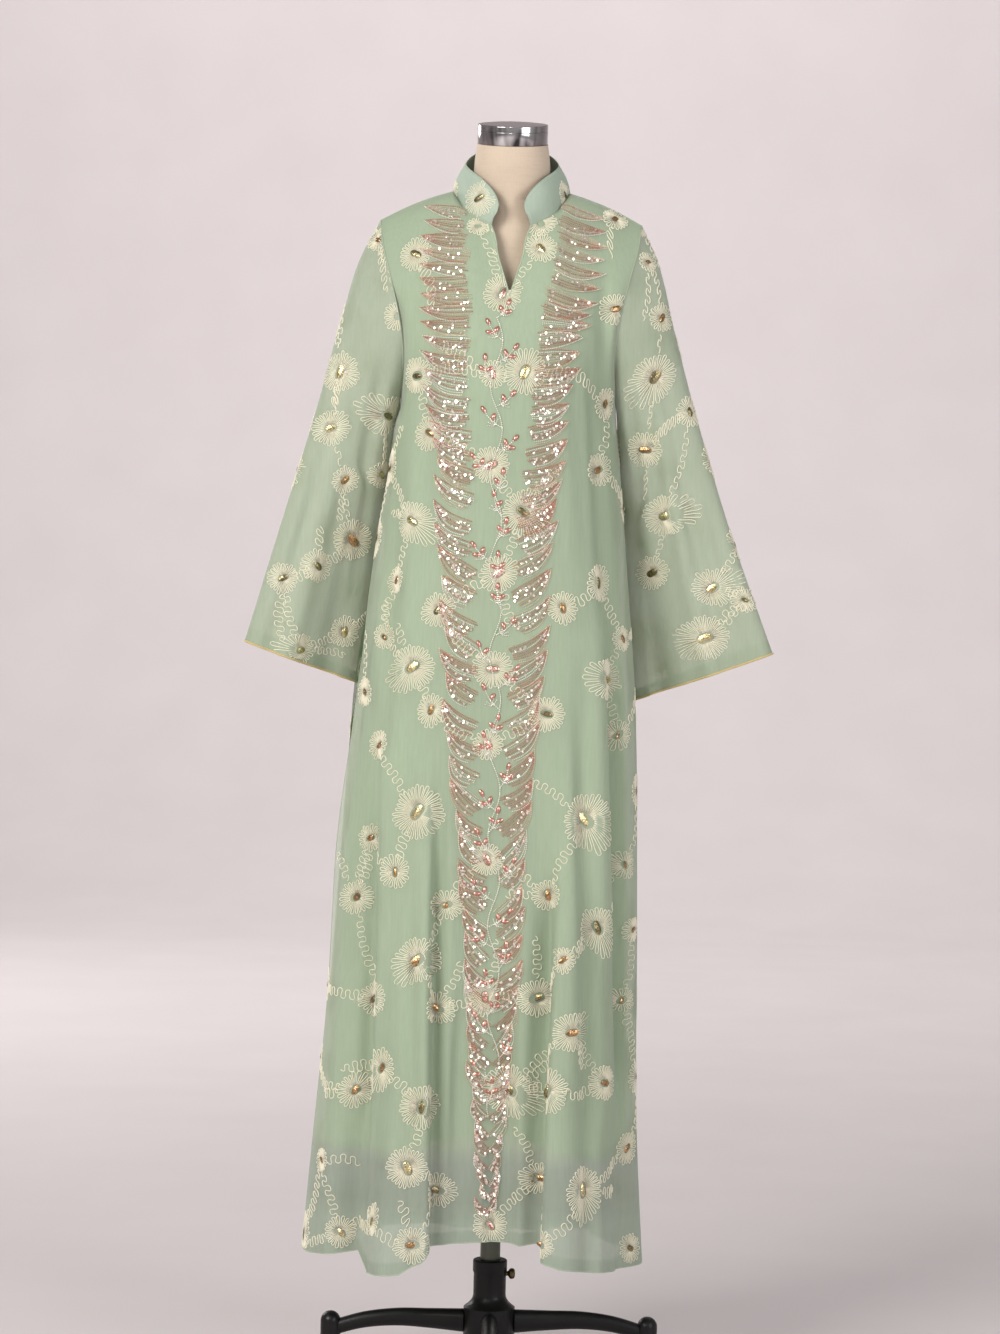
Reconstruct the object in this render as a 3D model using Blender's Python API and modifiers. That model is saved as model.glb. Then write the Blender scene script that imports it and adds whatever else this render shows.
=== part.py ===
"""Chiffon abaya with a shorter lining, worn by a limbless dress form on a cast stand.

Metres, +Z up. The pole's axis is the Z axis and the floor is z = 0. The front faces -Y, and left
and right are the wearer's, so the wearer's left is at +X. Every cloth wall is made from an outer
skin, worked out from the sizes below, and an inner skin moved in along the cloth's own normals.
"""

import math

import bmesh
import bpy
import numpy as np
from mathutils import kdtree

SEAM_GAP = 0.0003
CLOTH = 0.0010
SAME_PLACE = 0.00001

# Bodice levels, and the point where the neck slit ends.
ARMPIT_Z = 1.387
HEM_Z = 0.199
LINING_HEM_Z = 0.350

# Horizontal sections of the dress at its outer skin, as distances from the pole's axis.
SECTION_COLUMNS = ("height", "right", "left", "front", "back")
SECTIONS = [
    (1.440, 0.150, 0.149, 0.121, 0.106),
    (1.387, 0.152, 0.150, 0.123, 0.108),
    (1.300, 0.163, 0.158, 0.125, 0.112),
    (1.200, 0.177, 0.167, 0.128, 0.118),
    (1.100, 0.190, 0.176, 0.131, 0.125),
    (1.000, 0.205, 0.185, 0.135, 0.132),
    (0.900, 0.212, 0.190, 0.139, 0.137),
    (0.750, 0.221, 0.194, 0.144, 0.143),
    (0.600, 0.230, 0.197, 0.148, 0.149),
    (0.400, 0.248, 0.200, 0.152, 0.156),
    (0.180, 0.266, 0.213, 0.156, 0.163),
]
SECTION_POWER = 2.2

# Folds of the skirt: degrees from centre front towards the wearer's left, at the fold's upper end
# and at the hem, how far it stands out at the hem, the width of each flank in degrees, and the
# height at which it dies out.
FOLD_COLUMNS = ("name", "angle_top", "angle_hem", "out", "flank_before", "flank_after", "top")
SKIRT_FOLDS = [
    ("centre front dip", 0.0, -3.0, -0.050, 25.0, 27.0, 1.22),
    ("right front fold", -36.0, -38.0, 0.022, 12.0, 11.0, 1.10),
    ("right front dip", -52.0, -57.0, -0.020, 9.0, 9.0, 1.00),
    ("left front fold", 33.0, 34.0, 0.020, 8.0, 24.0, 1.02),
    ("left side dip", 62.0, 70.0, -0.015, 9.0, 9.0, 1.28),
    ("right side ripple", -74.0, -74.0, 0.006, 8.0, 9.0, 0.80),
    ("left back dip", 112.0, 116.0, -0.016, 11.0, 11.0, 1.00),
    ("left back fold", 138.0, 142.0, 0.022, 14.0, 12.0, 1.15),
    ("centre back dip", 176.0, 174.0, -0.026, 20.0, 18.0, 1.20),
    ("right back fold", 215.0, 212.0, 0.020, 12.0, 14.0, 1.12),
    ("right back dip", 240.0, 238.0, -0.018, 11.0, 10.0, 0.95),
]

# The hem is lifted over the centre front and falls a little lower at the wearer's left.
HEM_LIFTS = [
    {"angle": -3.0, "lift": 0.024, "flank": 34.0},
    {"angle": 80.0, "lift": -0.014, "flank": 40.0},
]

# Shoulders and neckline, drawn for the wearer's left and mirrored for the right.
NECK_ANGLE = 38.0
NECK_POINT = np.array((0.082, 0.0, 1.676))
SHOULDER_TIP = np.array((0.182, 0.0, 1.634))
SHOULDER_RISE = 0.004
FRONT_NECKLINE = [(0.0, 0.0275, -0.0660, 1.6235), (0.5, 0.0600, -0.0460, 1.6430), (1.0, *NECK_POINT)]
BACK_NECKLINE = [(0.0, 0.0, 0.0660, 1.6980), (0.5, 0.0520, 0.0470, 1.6920), (1.0, *NECK_POINT)]

# The neck slit from its notch upwards: share of the bodice's rise, half width.
SLIT = [(0.50, 0.0), (0.62, 0.0085), (0.75, 0.0170), (0.88, 0.0210), (1.0, 0.0275)]

# Armhole, from the armpit up to the shoulder tip: share, distance out, depth to the front or back.
ARMHOLE_OUT = [(0.0, 0.151), (0.25, 0.1475), (0.45, 0.1530), (0.65, 0.1640), (0.85, 0.1765), (1.0, 0.182)]
ARMHOLE_DEPTH = {"front": 0.056, "back": 0.054}
ARMHOLE_FADE = 0.45

# Columns between named angles, and rows, of the four body panels.
FRONT_COLUMNS = [(-90.0, -38.0, 8), (-38.0, 0.0, 8), (0.0, 38.0, 8), (38.0, 90.0, 8)]
BACK_COLUMNS = [(90.0, 142.0, 6), (142.0, 218.0, 10), (218.0, 270.0, 6)]
BODICE_ROWS = 10
SKIRT_ROWS = 18
SLIT_START_ROW = 5
SPACING_HEIGHT = 0.73

# The lining hangs inside the dress from the neck and shoulders, close there and freer below.
LINING_SKIRT_ROWS = 9
LINING_SHRINK_SEAM = 0.0012
LINING_SHRINK_TOP = 0.0036
LINING_SHRINK_SKIRT = 0.013
LINING_FREE_ROWS = 3
LINING_FOLD_SHARE = 0.75

# Sleeve rails: share of the length, outer edge and inner edge as distance out, height and depth
# behind the pole's axis, and how far the cloth stands to the front and back of the chord between.
SLEEVE_COLUMNS = ("share", "outer_x", "outer_z", "outer_y", "inner_x", "inner_z", "inner_y", "front", "back")
SLEEVE_RAILS = {
    "right": [
        (0.00, 0.1820, 1.634, 0.000, 0.151, 1.387, 0.000, 0.056, 0.054),
        (0.10, 0.2085, 1.583, 0.000, 0.160, 1.345, 0.012, 0.054, 0.052),
        (0.25, 0.2330, 1.500, 0.000, 0.167, 1.295, 0.028, 0.049, 0.045),
        (0.50, 0.2690, 1.361, -0.002, 0.177, 1.200, 0.050, 0.043, 0.038),
        (0.75, 0.3140, 1.205, -0.004, 0.186, 1.090, 0.068, 0.040, 0.034),
        (1.00, 0.3600, 1.045, -0.006, 0.196, 0.985, 0.082, 0.040, 0.034),
    ],
    "left": [
        (0.00, 0.1820, 1.634, 0.000, 0.151, 1.387, 0.000, 0.056, 0.054),
        (0.10, 0.2060, 1.583, 0.000, 0.159, 1.345, 0.012, 0.054, 0.052),
        (0.25, 0.2300, 1.492, 0.000, 0.163, 1.290, 0.030, 0.049, 0.045),
        (0.50, 0.2665, 1.361, -0.002, 0.168, 1.190, 0.052, 0.044, 0.038),
        (0.75, 0.3170, 1.203, -0.004, 0.174, 1.075, 0.070, 0.041, 0.034),
        (1.00, 0.3770, 1.042, -0.006, 0.181, 0.968, 0.084, 0.041, 0.034),
    ],
}

# Sleeve folds on the front and back walls: place across the sleeve from its inner edge (0) to its
# outer edge (1), how far it stands out at the cuff, half width as a share, and where it starts.
SLEEVE_FOLDS = {
    "right": [
        {"wall": "front", "place": 0.34, "out": -0.016, "half": 0.16, "start": 0.40},
        {"wall": "front", "place": 0.62, "out": 0.010, "half": 0.18, "start": 0.30},
        {"wall": "back", "place": 0.45, "out": -0.014, "half": 0.20, "start": 0.35},
    ],
    "left": [
        {"wall": "front", "place": 0.26, "out": -0.018, "half": 0.14, "start": 0.45},
        {"wall": "front", "place": 0.55, "out": 0.010, "half": 0.18, "start": 0.25},
        {"wall": "back", "place": 0.50, "out": -0.014, "half": 0.20, "start": 0.35},
    ],
}
SLEEVE_FADE = 0.25
SLEEVE_LENGTH = 0.62
SLEEVE_ROWS = 15
CUFF_EDGE_TALL = 0.003
CUFF_EDGE_PROUD = 0.0004

# Stand collar: its top edge from the rounded front end round to centre back.
COLLAR_TOP = [
    (0.00, 0.0115, -0.0740, 1.6540),
    (0.25, 0.0420, -0.0560, 1.6890),
    (0.50, 0.0610, -0.0060, 1.7200),
    (0.75, 0.0450, 0.0360, 1.7380),
    (1.00, 0.0000, 0.0530, 1.7430),
]
COLLAR_ROWS = 4
COLLAR_CLOTH = 0.0016
COLLAR_BOW = 0.004

# Dress form sections from its base up: height, half width, front, back, forward tilt in degrees.
FORM_COLUMNS = ("height", "half_width", "front", "back", "tilt")
FORM_SECTIONS = [
    (0.900, 0.136, 0.078, 0.090, 0.0),
    (0.906, 0.146, 0.086, 0.098, 0.0),
    (0.960, 0.158, 0.094, 0.106, 0.0),
    (1.030, 0.160, 0.096, 0.104, 0.0),
    (1.110, 0.142, 0.094, 0.090, 0.0),
    (1.200, 0.117, 0.084, 0.076, 0.0),
    (1.290, 0.124, 0.095, 0.084, 0.0),
    (1.360, 0.138, 0.112, 0.094, 0.0),
    (1.420, 0.137, 0.111, 0.095, 0.0),
    (1.480, 0.136, 0.094, 0.094, 0.0),
    (1.540, 0.144, 0.074, 0.084, 0.0),
    (1.590, 0.155, 0.050, 0.066, 0.0),
    (1.6239, 0.154, 0.036, 0.049, 0.0),
    (1.6399, 0.148, 0.025, 0.040, 0.0),
    (1.6529, 0.130, 0.017, 0.032, 0.0),
    (1.6619, 0.104, 0.013, 0.030, 0.0),
    (1.6650, 0.068, 0.022, 0.040, 2.0),
    (1.674, 0.061, 0.036, 0.046, 5.0),
    (1.690, 0.0545, 0.046, 0.050, 9.0),
    (1.720, 0.0525, 0.0495, 0.0495, 11.0),
    (1.741, 0.0495, 0.0480, 0.0480, 12.0),
]
FORM_SIDES = 32
FORM_POWER = 2.15
NECK_LEAN_FROM = 1.640
NECK_LEAN = 0.21

# Neck cap.
CAP_RADIUS = 0.0488
CAP_TALL = 0.0270
CAP_DOME = 0.0095
CAP_TILT = math.radians(12.0)

# Stand.
POLE_RADIUS = 0.0140
POLE_BOTTOM_Z = 0.090
HUB_TOP_Z = 0.182
HUB_BOTTOM_Z = 0.070
HUB_RADIUS = 0.0240
HUB_FOOT_RADIUS = 0.0360
SCREW_Z = 0.162
SCREW_RADIUS = 0.0032
LEG_REACH = 0.2225
POST_RADIUS = 0.0140
POST_TOP_Z = 0.105
LEG_SIDES = 10

COLOURS = {
    "chiffon": ((0.56, 0.70, 0.55, 1.0), 0.75, 0.0),
    "lining": ((0.44, 0.66, 0.42, 1.0), 0.70, 0.0),
    "gold": ((0.72, 0.55, 0.22, 1.0), 0.40, 0.8),
    "linen": ((0.78, 0.66, 0.48, 1.0), 0.85, 0.0),
    "chrome": ((0.70, 0.70, 0.72, 1.0), 0.12, 1.0),
    "steel": ((0.28, 0.29, 0.25, 1.0), 0.40, 0.9),
    "iron": ((0.02, 0.02, 0.02, 1.0), 0.45, 0.3),
    "bronze": ((0.16, 0.12, 0.06, 1.0), 0.45, 0.8),
}


def smooth(share):
    share = min(1.0, max(0.0, share))
    return share * share * (3.0 - 2.0 * share)


def through(rows, place):
    """Smooth curve through table rows whose first column is the place along it."""
    rows = np.asarray(rows, float)
    keys = rows[:, 0]
    values = rows[:, 1:]
    if keys[0] > keys[-1]:
        keys = keys[::-1]
        values = values[::-1]
    place = min(keys[-1], max(keys[0], place))
    cell = min(len(keys) - 2, max(0, int(np.searchsorted(keys, place, side="right")) - 1))
    slopes = np.gradient(values, keys, axis=0)
    span = keys[cell + 1] - keys[cell]
    t = (place - keys[cell]) / span
    start = (1 + 2 * t) * (1 - t) ** 2 * values[cell] + t * (1 - t) ** 2 * span * slopes[cell]
    end = t * t * (3 - 2 * t) * values[cell + 1] - t * t * (1 - t) * span * slopes[cell + 1]
    return start + end


def bump(angle, centre, before, after):
    """A rounded rise of height 1 at the centre, with a flank of its own width on each side."""
    off = (angle - centre + 180.0) % 360.0 - 180.0
    flank = before if off < 0 else after
    if abs(off) >= flank * 1.6:
        return 0.0
    return math.cos(0.5 * math.pi * off / (flank * 1.6)) ** 2


def hem_height(angle):
    lift = sum(row["lift"] * bump(angle, row["angle"], row["flank"], row["flank"]) for row in HEM_LIFTS)
    return HEM_Z + lift


def fold_depth(angle, height, share):
    total = 0.0
    for _, angle_top, angle_hem, out, before, after, top in SKIRT_FOLDS:
        down = (top - height) / (top - HEM_Z)
        if down <= 0:
            continue
        centre = angle_top + (angle_hem - angle_top) * down
        total += out * min(down, 1.1) ** 1.25 * bump(angle, centre, before, after)
    return total * share


def ring_point(angle, height, fold_share=1.0):
    """Outer skin of the dress below the armpits, at a polar angle from centre front."""
    right, left, front, back = through(SECTIONS, height)
    sine = math.sin(math.radians(angle))
    cosine = math.cos(math.radians(angle))
    width = left if sine >= 0 else right
    depth = front if cosine >= 0 else back
    power = SECTION_POWER
    reach = (abs(cosine / depth) ** power + abs(sine / width) ** power) ** (-1.0 / power)
    reach += fold_depth(angle, height, fold_share)
    return np.array((reach * sine, -reach * cosine, height))


def armhole_point(share, part):
    out = through(ARMHOLE_OUT, share)[0]
    height = ARMPIT_Z + (SHOULDER_TIP[2] - ARMPIT_Z) * share
    depth = ARMHOLE_DEPTH[part] * math.sin(math.pi * share) ** 0.75 if 0.0 < share < 1.0 else 0.0
    return np.array((out, -depth if part == "front" else depth, height))


def hermite(start, start_pull, end, end_pull, t):
    value = (1 + 2 * t) * (1 - t) ** 2 * start + t * (1 - t) ** 2 * start_pull
    return value + t * t * (3 - 2 * t) * end - t * t * (1 - t) * end_pull


def plain_rise(angle, share, part):
    """Bodice column from the armpit level to the shoulder seam or neckline, before the armhole bow."""
    across = abs((angle if part == "front" else angle - 180.0)) / 90.0
    neck = NECK_ANGLE / 90.0
    sign = 1.0 if part == "front" else -1.0
    start = ring_point(abs(angle) if part == "front" else 180.0 - abs(angle - 180.0), ARMPIT_Z)
    start[0] = abs(start[0])
    if across >= neck:
        along = (across - neck) / (1.0 - neck)
        end = NECK_POINT + (SHOULDER_TIP - NECK_POINT) * along
        end[2] += SHOULDER_RISE * math.sin(math.pi * along)
        lean = np.array((0.0, sign, 0.0))
    else:
        along = across / neck
        end = through(FRONT_NECKLINE if part == "front" else BACK_NECKLINE, along)
        steep = 0.94 * (1.0 - smooth(along))
        lean = np.array((0.0, sign * (0.35 + 0.65 * smooth(along)), steep))
    reach = np.linalg.norm(end - start)
    pulls = (1.15, 0.60) if part == "front" else (1.10, 0.75)
    up = np.array((0.0, 0.0, reach * pulls[0]))
    return hermite(start, up, end, lean * reach * pulls[1], share), across


def bodice_point(angle, share, part, side):
    """Outer skin above the armpits; side is +1 for the wearer's left and -1 for the right."""
    point, across = plain_rise(angle, share, part)
    edge, _ = plain_rise(90.0, share, part) if part == "front" else plain_rise(90.0 + 1e-9, share, part)
    bow = armhole_point(share, part) - edge
    weight = smooth((across - ARMHOLE_FADE) / (1.0 - ARMHOLE_FADE)) ** 2
    point = point + weight * bow
    neck = NECK_ANGLE / 90.0
    if part == "front" and across < neck:
        middle, _ = plain_rise(0.0, share, part)
        slit = through(SLIT, share)[0] if share > SLIT[0][0] else 0.0
        point[0] += (slit - middle[0]) * (1.0 - across / neck) ** 2
    return point * np.array((side, 1.0, 1.0))


def skin_point(angle, level, part, side, fold_share=1.0, hem_rise=0.0):
    """Level 0 is the armpits, 1 is the hem and -1 is the shoulder seam or neckline."""
    if level <= 0:
        return bodice_point(angle, -level, part, side)
    foot = hem_height(angle) + hem_rise
    return ring_point(angle, ARMPIT_Z + (foot - ARMPIT_Z) * level, fold_share)


def even_angles(spans):
    """Angles spaced evenly along the folded section inside each named span."""
    angles = [spans[0][0]]
    for start, end, count in spans:
        fine = np.linspace(start, end, 200)
        points = np.array([ring_point(angle, SPACING_HEIGHT) for angle in fine])
        steps = np.linalg.norm(np.diff(points, axis=0), axis=1)
        length = np.concatenate(([0.0], np.cumsum(steps)))
        angles.extend(np.interp(np.linspace(0.0, length[-1], count + 1)[1:], length, fine))
    return angles


def panel_grids(part, angles, skirt_rows, fold_share=1.0, hem_rise=0.0):
    """Skin of a panel; the front is two halves that share the column below its slit."""
    levels = [-1.0 + row / BODICE_ROWS for row in range(BODICE_ROWS)]
    levels += [row / skirt_rows for row in range(skirt_rows + 1)]
    halves = [(angles, 0.0)]
    if part == "front":
        levels[SLIT_START_ROW] = -SLIT[0][0]
        halves = [([a for a in angles if a <= 1e-9], -1.0), ([a for a in angles if a >= -1e-9], 1.0)]
    grids = []
    for run, half_side in halves:
        base = np.zeros((len(levels), len(run), 3))
        shift = np.zeros_like(base)
        for row, level in enumerate(levels):
            for column, angle in enumerate(run):
                side = half_side or (1.0 if angle <= 180.0 else -1.0)
                base[row, column] = skin_point(angle, level, part, side, fold_share, hem_rise)
                at_side = abs(abs(angle if part == "front" else angle - 180.0) - 90.0) < 1e-6
                if row == 0 or (at_side and level >= -1e-9):
                    shift[row, column, 1] = -0.5 * SEAM_GAP if part == "front" else 0.5 * SEAM_GAP
        grids.append({"base": base, "shift": shift, "closed": False, "joined": False, "flip": 1.0})
    return grids


def neck_share(part, across):
    """Place along half the collar, from its front end (0) to centre back (1)."""
    along = across / (NECK_ANGLE / 90.0)
    return 0.5 * along if part == "front" else 1.0 - 0.5 * along


def collar_base(share):
    if share <= 0.5:
        return through(FRONT_NECKLINE, share * 2.0)
    return through(BACK_NECKLINE, (1.0 - share) * 2.0)


def collar_point(share, rise, side):
    base = collar_base(share)
    top = through(COLLAR_TOP, share)
    point = base + (top - base) * rise
    outward = np.array((point[0], point[1], 0.0))
    outward /= max(1e-9, np.linalg.norm(outward))
    point = point + outward * COLLAR_BOW * math.sin(math.pi * rise)
    return point * np.array((side, 1.0, 1.0))


def sleeve_rails(side_name, share):
    row = through(SLEEVE_RAILS[side_name], share)
    outer = np.array((row[0], row[2], row[1]))
    inner = np.array((row[3], row[5], row[4]))
    return outer, inner, row[6], row[7]


def sleeve_fold(side_name, wall, across, share):
    total = 0.0
    for row in SLEEVE_FOLDS[side_name]:
        if row["wall"] != wall:
            continue
        growth = smooth((share - row["start"]) / (1.0 - row["start"]))
        off = (across - row["place"]) / row["half"]
        if abs(off) < 1.0:
            total += row["out"] * growth * math.cos(0.5 * math.pi * off) ** 2
    return total


def sleeve_shape(side_name, turn, share):
    """Sleeve skin for the wearer's left; turn runs 0 at the outer edge, over the front, to 2 pi."""
    beyond = max(0.0, share - 1.0)
    outer, inner, front, back = sleeve_rails(side_name, min(1.0, share))
    if beyond > 0.0:
        outer_b, inner_b, _, _ = sleeve_rails(side_name, 0.98)
        outer = outer + (outer - outer_b) / 0.02 * beyond
        inner = inner + (inner - inner_b) / 0.02 * beyond
    wall = "front" if math.sin(turn) >= 0 else "back"
    across = 0.5 + 0.5 * math.cos(turn)
    depth = (front if wall == "front" else back) * abs(math.sin(turn)) ** 0.85
    depth += sleeve_fold(side_name, wall, across, min(1.0, share))
    point = inner + (outer - inner) * across
    point[1] += -depth if wall == "front" else depth
    return point


def sleeve_point(side_name, turn, share, side):
    point = sleeve_shape(side_name, turn, share)
    part = "front" if math.sin(turn) >= 0 else "back"
    rise = 0.5 + 0.5 * math.cos(turn)
    seam = armhole_point(rise, part) - sleeve_shape(side_name, turn, 0.0)
    point = point + seam * (1.0 - smooth(share / SLEEVE_FADE)) ** 1.5
    return point * np.array((side, 1.0, 1.0))


def grid_normals(grid):
    """Outward normals of a grid's points, averaged over the faces round each point."""
    points = grid["base"]
    if grid["closed"]:
        points = np.concatenate((points, points[:, :1]), axis=1)
    across = points[:-1, 1:] - points[1:, :-1]
    down = points[1:, 1:] - points[:-1, :-1]
    faces = np.cross(down, across) * grid["flip"]
    total = np.zeros_like(points)
    for row, column in ((0, 0), (0, 1), (1, 0), (1, 1)):
        total[row:row + faces.shape[0], column:column + faces.shape[1]] += faces
    if grid["closed"]:
        total[:, 0] += total[:, -1]
        total = total[:, :-1]
    return total / np.linalg.norm(total, axis=2, keepdims=True)


def set_rims(pieces):
    """Gives each point the direction of its wall's rim, shared with the piece across a seam."""
    places = []
    for name, grids in pieces.items():
        for grid in grids:
            grid["normal"] = grid_normals(grid)
            grid["rim"] = grid["normal"].copy()
            places += [(name, grid, row, column) for row, column in np.ndindex(grid["base"].shape[:2])]
    tree = kdtree.KDTree(len(places))
    for index, (_, grid, row, column) in enumerate(places):
        tree.insert(grid["base"][row, column], index)
    tree.balance()
    for index, (name, grid, row, column) in enumerate(places):
        own = grid["normal"][row, column]
        rim = own.copy()
        for _, other, _ in tree.find_range(grid["base"][row, column], SAME_PLACE):
            if other == index:
                continue
            other_name, other_grid, other_row, other_column = places[other]
            beside = other_grid["normal"][other_row, other_column]
            turned_away = "sleeve" in name + other_name and name != other_name
            share = smooth((float(np.dot(own, beside)) + 0.2) / 0.5) if turned_away else 1.0
            rim = rim + share * beside
        if abs(grid["base"][row, column, 1]) < SAME_PLACE:
            rim[1] = 0.0
        grid["rim"][row, column] = rim / np.linalg.norm(rim)
    for _, grid, row, column in places:
        if row == 0 and column == 0 and grid["joined"]:
            part_from_seam(grid)


def part_from_seam(grid):
    """Moves the first row off the seam, square to the rim that the neighbour has there too."""
    first = grid["base"][0]
    if grid["closed"]:
        along = np.roll(first, -1, axis=0) - np.roll(first, 1, axis=0)
    else:
        along = np.gradient(first, axis=0)
    away = np.cross(along, grid["rim"][0])
    away /= np.linalg.norm(away, axis=1, keepdims=True)
    ahead = grid["base"][1] - first
    away *= np.sign(np.sum(away * ahead, axis=1, keepdims=True))
    grid["shift"][0] += away * SEAM_GAP


def new_object(name, mesh, colour, collection):
    obj = bpy.data.objects.new(name, mesh)
    collection.objects.link(obj)
    mesh.materials.append(material(colour))
    return obj


def material(colour):
    found = bpy.data.materials.get(colour)
    if found:
        return found
    made = bpy.data.materials.new(colour)
    made.use_nodes = True
    shader = made.node_tree.nodes["Principled BSDF"]
    base, rough, metal = COLOURS[colour]
    shader.inputs["Base Color"].default_value = base
    shader.inputs["Roughness"].default_value = rough
    shader.inputs["Metallic"].default_value = metal
    made.diffuse_color = base
    return made


def mesh_from(name, build):
    shape = bmesh.new()
    build(shape)
    bmesh.ops.remove_doubles(shape, verts=shape.verts, dist=1e-6)
    bmesh.ops.recalc_face_normals(shape, faces=shape.faces)
    mesh = bpy.data.meshes.new(name)
    shape.to_mesh(mesh)
    shape.free()
    mesh.shade_smooth()
    mesh.set_sharp_from_angle(angle=math.radians(50.0))
    return mesh


def wall_mesh(name, grids, thick, inset=None, proud=0.0):
    """Closed wall of one piece: outer skin, inner skin and a rim along every free edge."""
    def build(shape):
        rims = {}
        for grid in grids:
            depth = np.zeros(grid["base"].shape[0]) if inset is None else inset(grid)
            skin = grid["base"] + grid["shift"] - grid["rim"] * (depth[:, None, None] - proud)
            outer = [[shape.verts.new(point) for point in line] for line in skin]
            inner = [[shape.verts.new(point) for point in line] for line in skin - grid["rim"] * (thick + proud)]
            add_skins(shape, outer, inner, grid["closed"])
            for start, end in border_steps(len(outer), len(outer[0]), grid["closed"]):
                key = frozenset(tuple(np.round(outer[row][column].co, 5)) for row, column in (start, end))
                rims.setdefault(key, []).append([outer[start[0]][start[1]], outer[end[0]][end[1]],
                                                 inner[end[0]][end[1]], inner[start[0]][start[1]]])
        for sides in rims.values():
            if len(sides) == 1:
                shape.faces.new(sides[0])
    return mesh_from(name, build)


def add_skins(shape, outer, inner, closed):
    columns = len(outer[0])
    for row in range(len(outer) - 1):
        for column in range(columns if closed else columns - 1):
            after = (column + 1) % columns
            corners = ((row, column), (row, after), (row + 1, after), (row + 1, column))
            shape.faces.new([outer[r][c] for r, c in corners])
            shape.faces.new([inner[r][c] for r, c in reversed(corners)])


def border_steps(rows, columns, closed):
    """Steps from point to point along a grid's free edges."""
    if closed:
        steps = []
        for row in (0, rows - 1):
            steps += [((row, column), (row, (column + 1) % columns)) for column in range(columns)]
        return steps
    loop = [(0, column) for column in range(columns)]
    loop += [(row, columns - 1) for row in range(1, rows)]
    loop += [(rows - 1, column) for column in range(columns - 2, -1, -1)]
    loop += [(row, 0) for row in range(rows - 2, 0, -1)]
    return list(zip(loop, loop[1:] + loop[:1]))


def dress_grids():
    """Grids of every outer piece, with the rims that neighbours share."""
    pieces = {
        "dress_front": panel_grids("front", even_angles(FRONT_COLUMNS), SKIRT_ROWS),
        "dress_back": panel_grids("back", even_angles(BACK_COLUMNS), SKIRT_ROWS),
        "collar": [collar_grid()],
        "sleeve_right": [sleeve_grid("right")],
        "sleeve_left": [sleeve_grid("left")],
    }
    set_rims(pieces)
    return pieces


def dress(collection):
    for name, grids in dress_grids().items():
        thick = COLLAR_CLOTH if name == "collar" else CLOTH
        new_object(name, wall_mesh(name, grids, thick), "chiffon", collection)


def lining(collection):
    """Lining panels on every other column, close under the dress above the armpits."""
    sizes = (LINING_SKIRT_ROWS, LINING_FOLD_SHARE, LINING_HEM_Z - HEM_Z)
    pieces = {
        "lining_front": panel_grids("front", even_angles(FRONT_COLUMNS)[::2], *sizes),
        "lining_back": panel_grids("back", even_angles(BACK_COLUMNS)[::2], *sizes),
    }
    set_rims(pieces)

    def inset(grid):
        below = np.arange(grid["base"].shape[0]) - BODICE_ROWS
        free = np.array([smooth(step / LINING_FREE_ROWS) for step in below])
        shrink = LINING_SHRINK_TOP + (LINING_SHRINK_SKIRT - LINING_SHRINK_TOP) * free
        shrink[0] = LINING_SHRINK_SEAM
        return CLOTH + SEAM_GAP + shrink

    for name, grids in pieces.items():
        new_object(name, wall_mesh(name, grids, CLOTH, inset), "lining", collection)


def sleeve_turns():
    """Turns that meet the bodice rows of the front and back panels."""
    rises = [row / BODICE_ROWS for row in range(BODICE_ROWS + 1)]
    rises[BODICE_ROWS - SLIT_START_ROW] = SLIT[0][0]
    front = [math.acos(2.0 * rise - 1.0) for rise in reversed(rises)]
    back = [2.0 * math.pi - turn for turn in reversed(front[1:-1])]
    return front + back


def sleeve_grid(side_name, shares=None):
    side = 1.0 if side_name == "left" else -1.0
    shares = shares or [row / SLEEVE_ROWS for row in range(SLEEVE_ROWS + 1)]
    turns = sleeve_turns()
    base = np.array([[sleeve_point(side_name, turn, share, side) for turn in turns] for share in shares])
    shift = np.zeros_like(base)
    shift[0, :, 0] += [side * SEAM_GAP * (0.5 - 0.5 * math.cos(turn)) ** 4 for turn in turns]
    return {"base": base, "shift": shift, "closed": True, "joined": True, "flip": -side}


def cuff_edge(side_name, collection):
    """Gold edging that continues the sleeve past its end."""
    name = "cuff_edge_" + side_name
    grid = sleeve_grid(side_name, [1.0, 1.0 + CUFF_EDGE_TALL / SLEEVE_LENGTH])
    set_rims({name: [grid]})
    grid["shift"][:] = grid["shift"][0]
    mesh = wall_mesh(name, [grid], CLOTH + CUFF_EDGE_PROUD, None, CUFF_EDGE_PROUD)
    new_object(name, mesh, "gold", collection)


def collar_grid():
    """Collar skin from its left front end, round the back, to its right front end."""
    front = [a for a in even_angles(FRONT_COLUMNS) if abs(a) <= NECK_ANGLE + 1e-9]
    back = [a for a in even_angles(BACK_COLUMNS) if abs(a - 180.0) < NECK_ANGLE - 1e-9]
    places = [(neck_share("front", a / 90.0), 1.0) for a in front if a >= -1e-9]
    places += [(neck_share("back", abs(a - 180.0) / 90.0), 1.0 if a <= 180.0 else -1.0) for a in back]
    places += [(neck_share("front", -a / 90.0), -1.0) for a in front if a <= 1e-9]
    rises = [row / COLLAR_ROWS for row in range(COLLAR_ROWS + 1)]
    base = np.array([[collar_point(share, rise, side) for share, side in places] for rise in rises])
    return {"base": base, "shift": np.zeros_like(base), "closed": False, "joined": True, "flip": -1.0}


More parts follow.
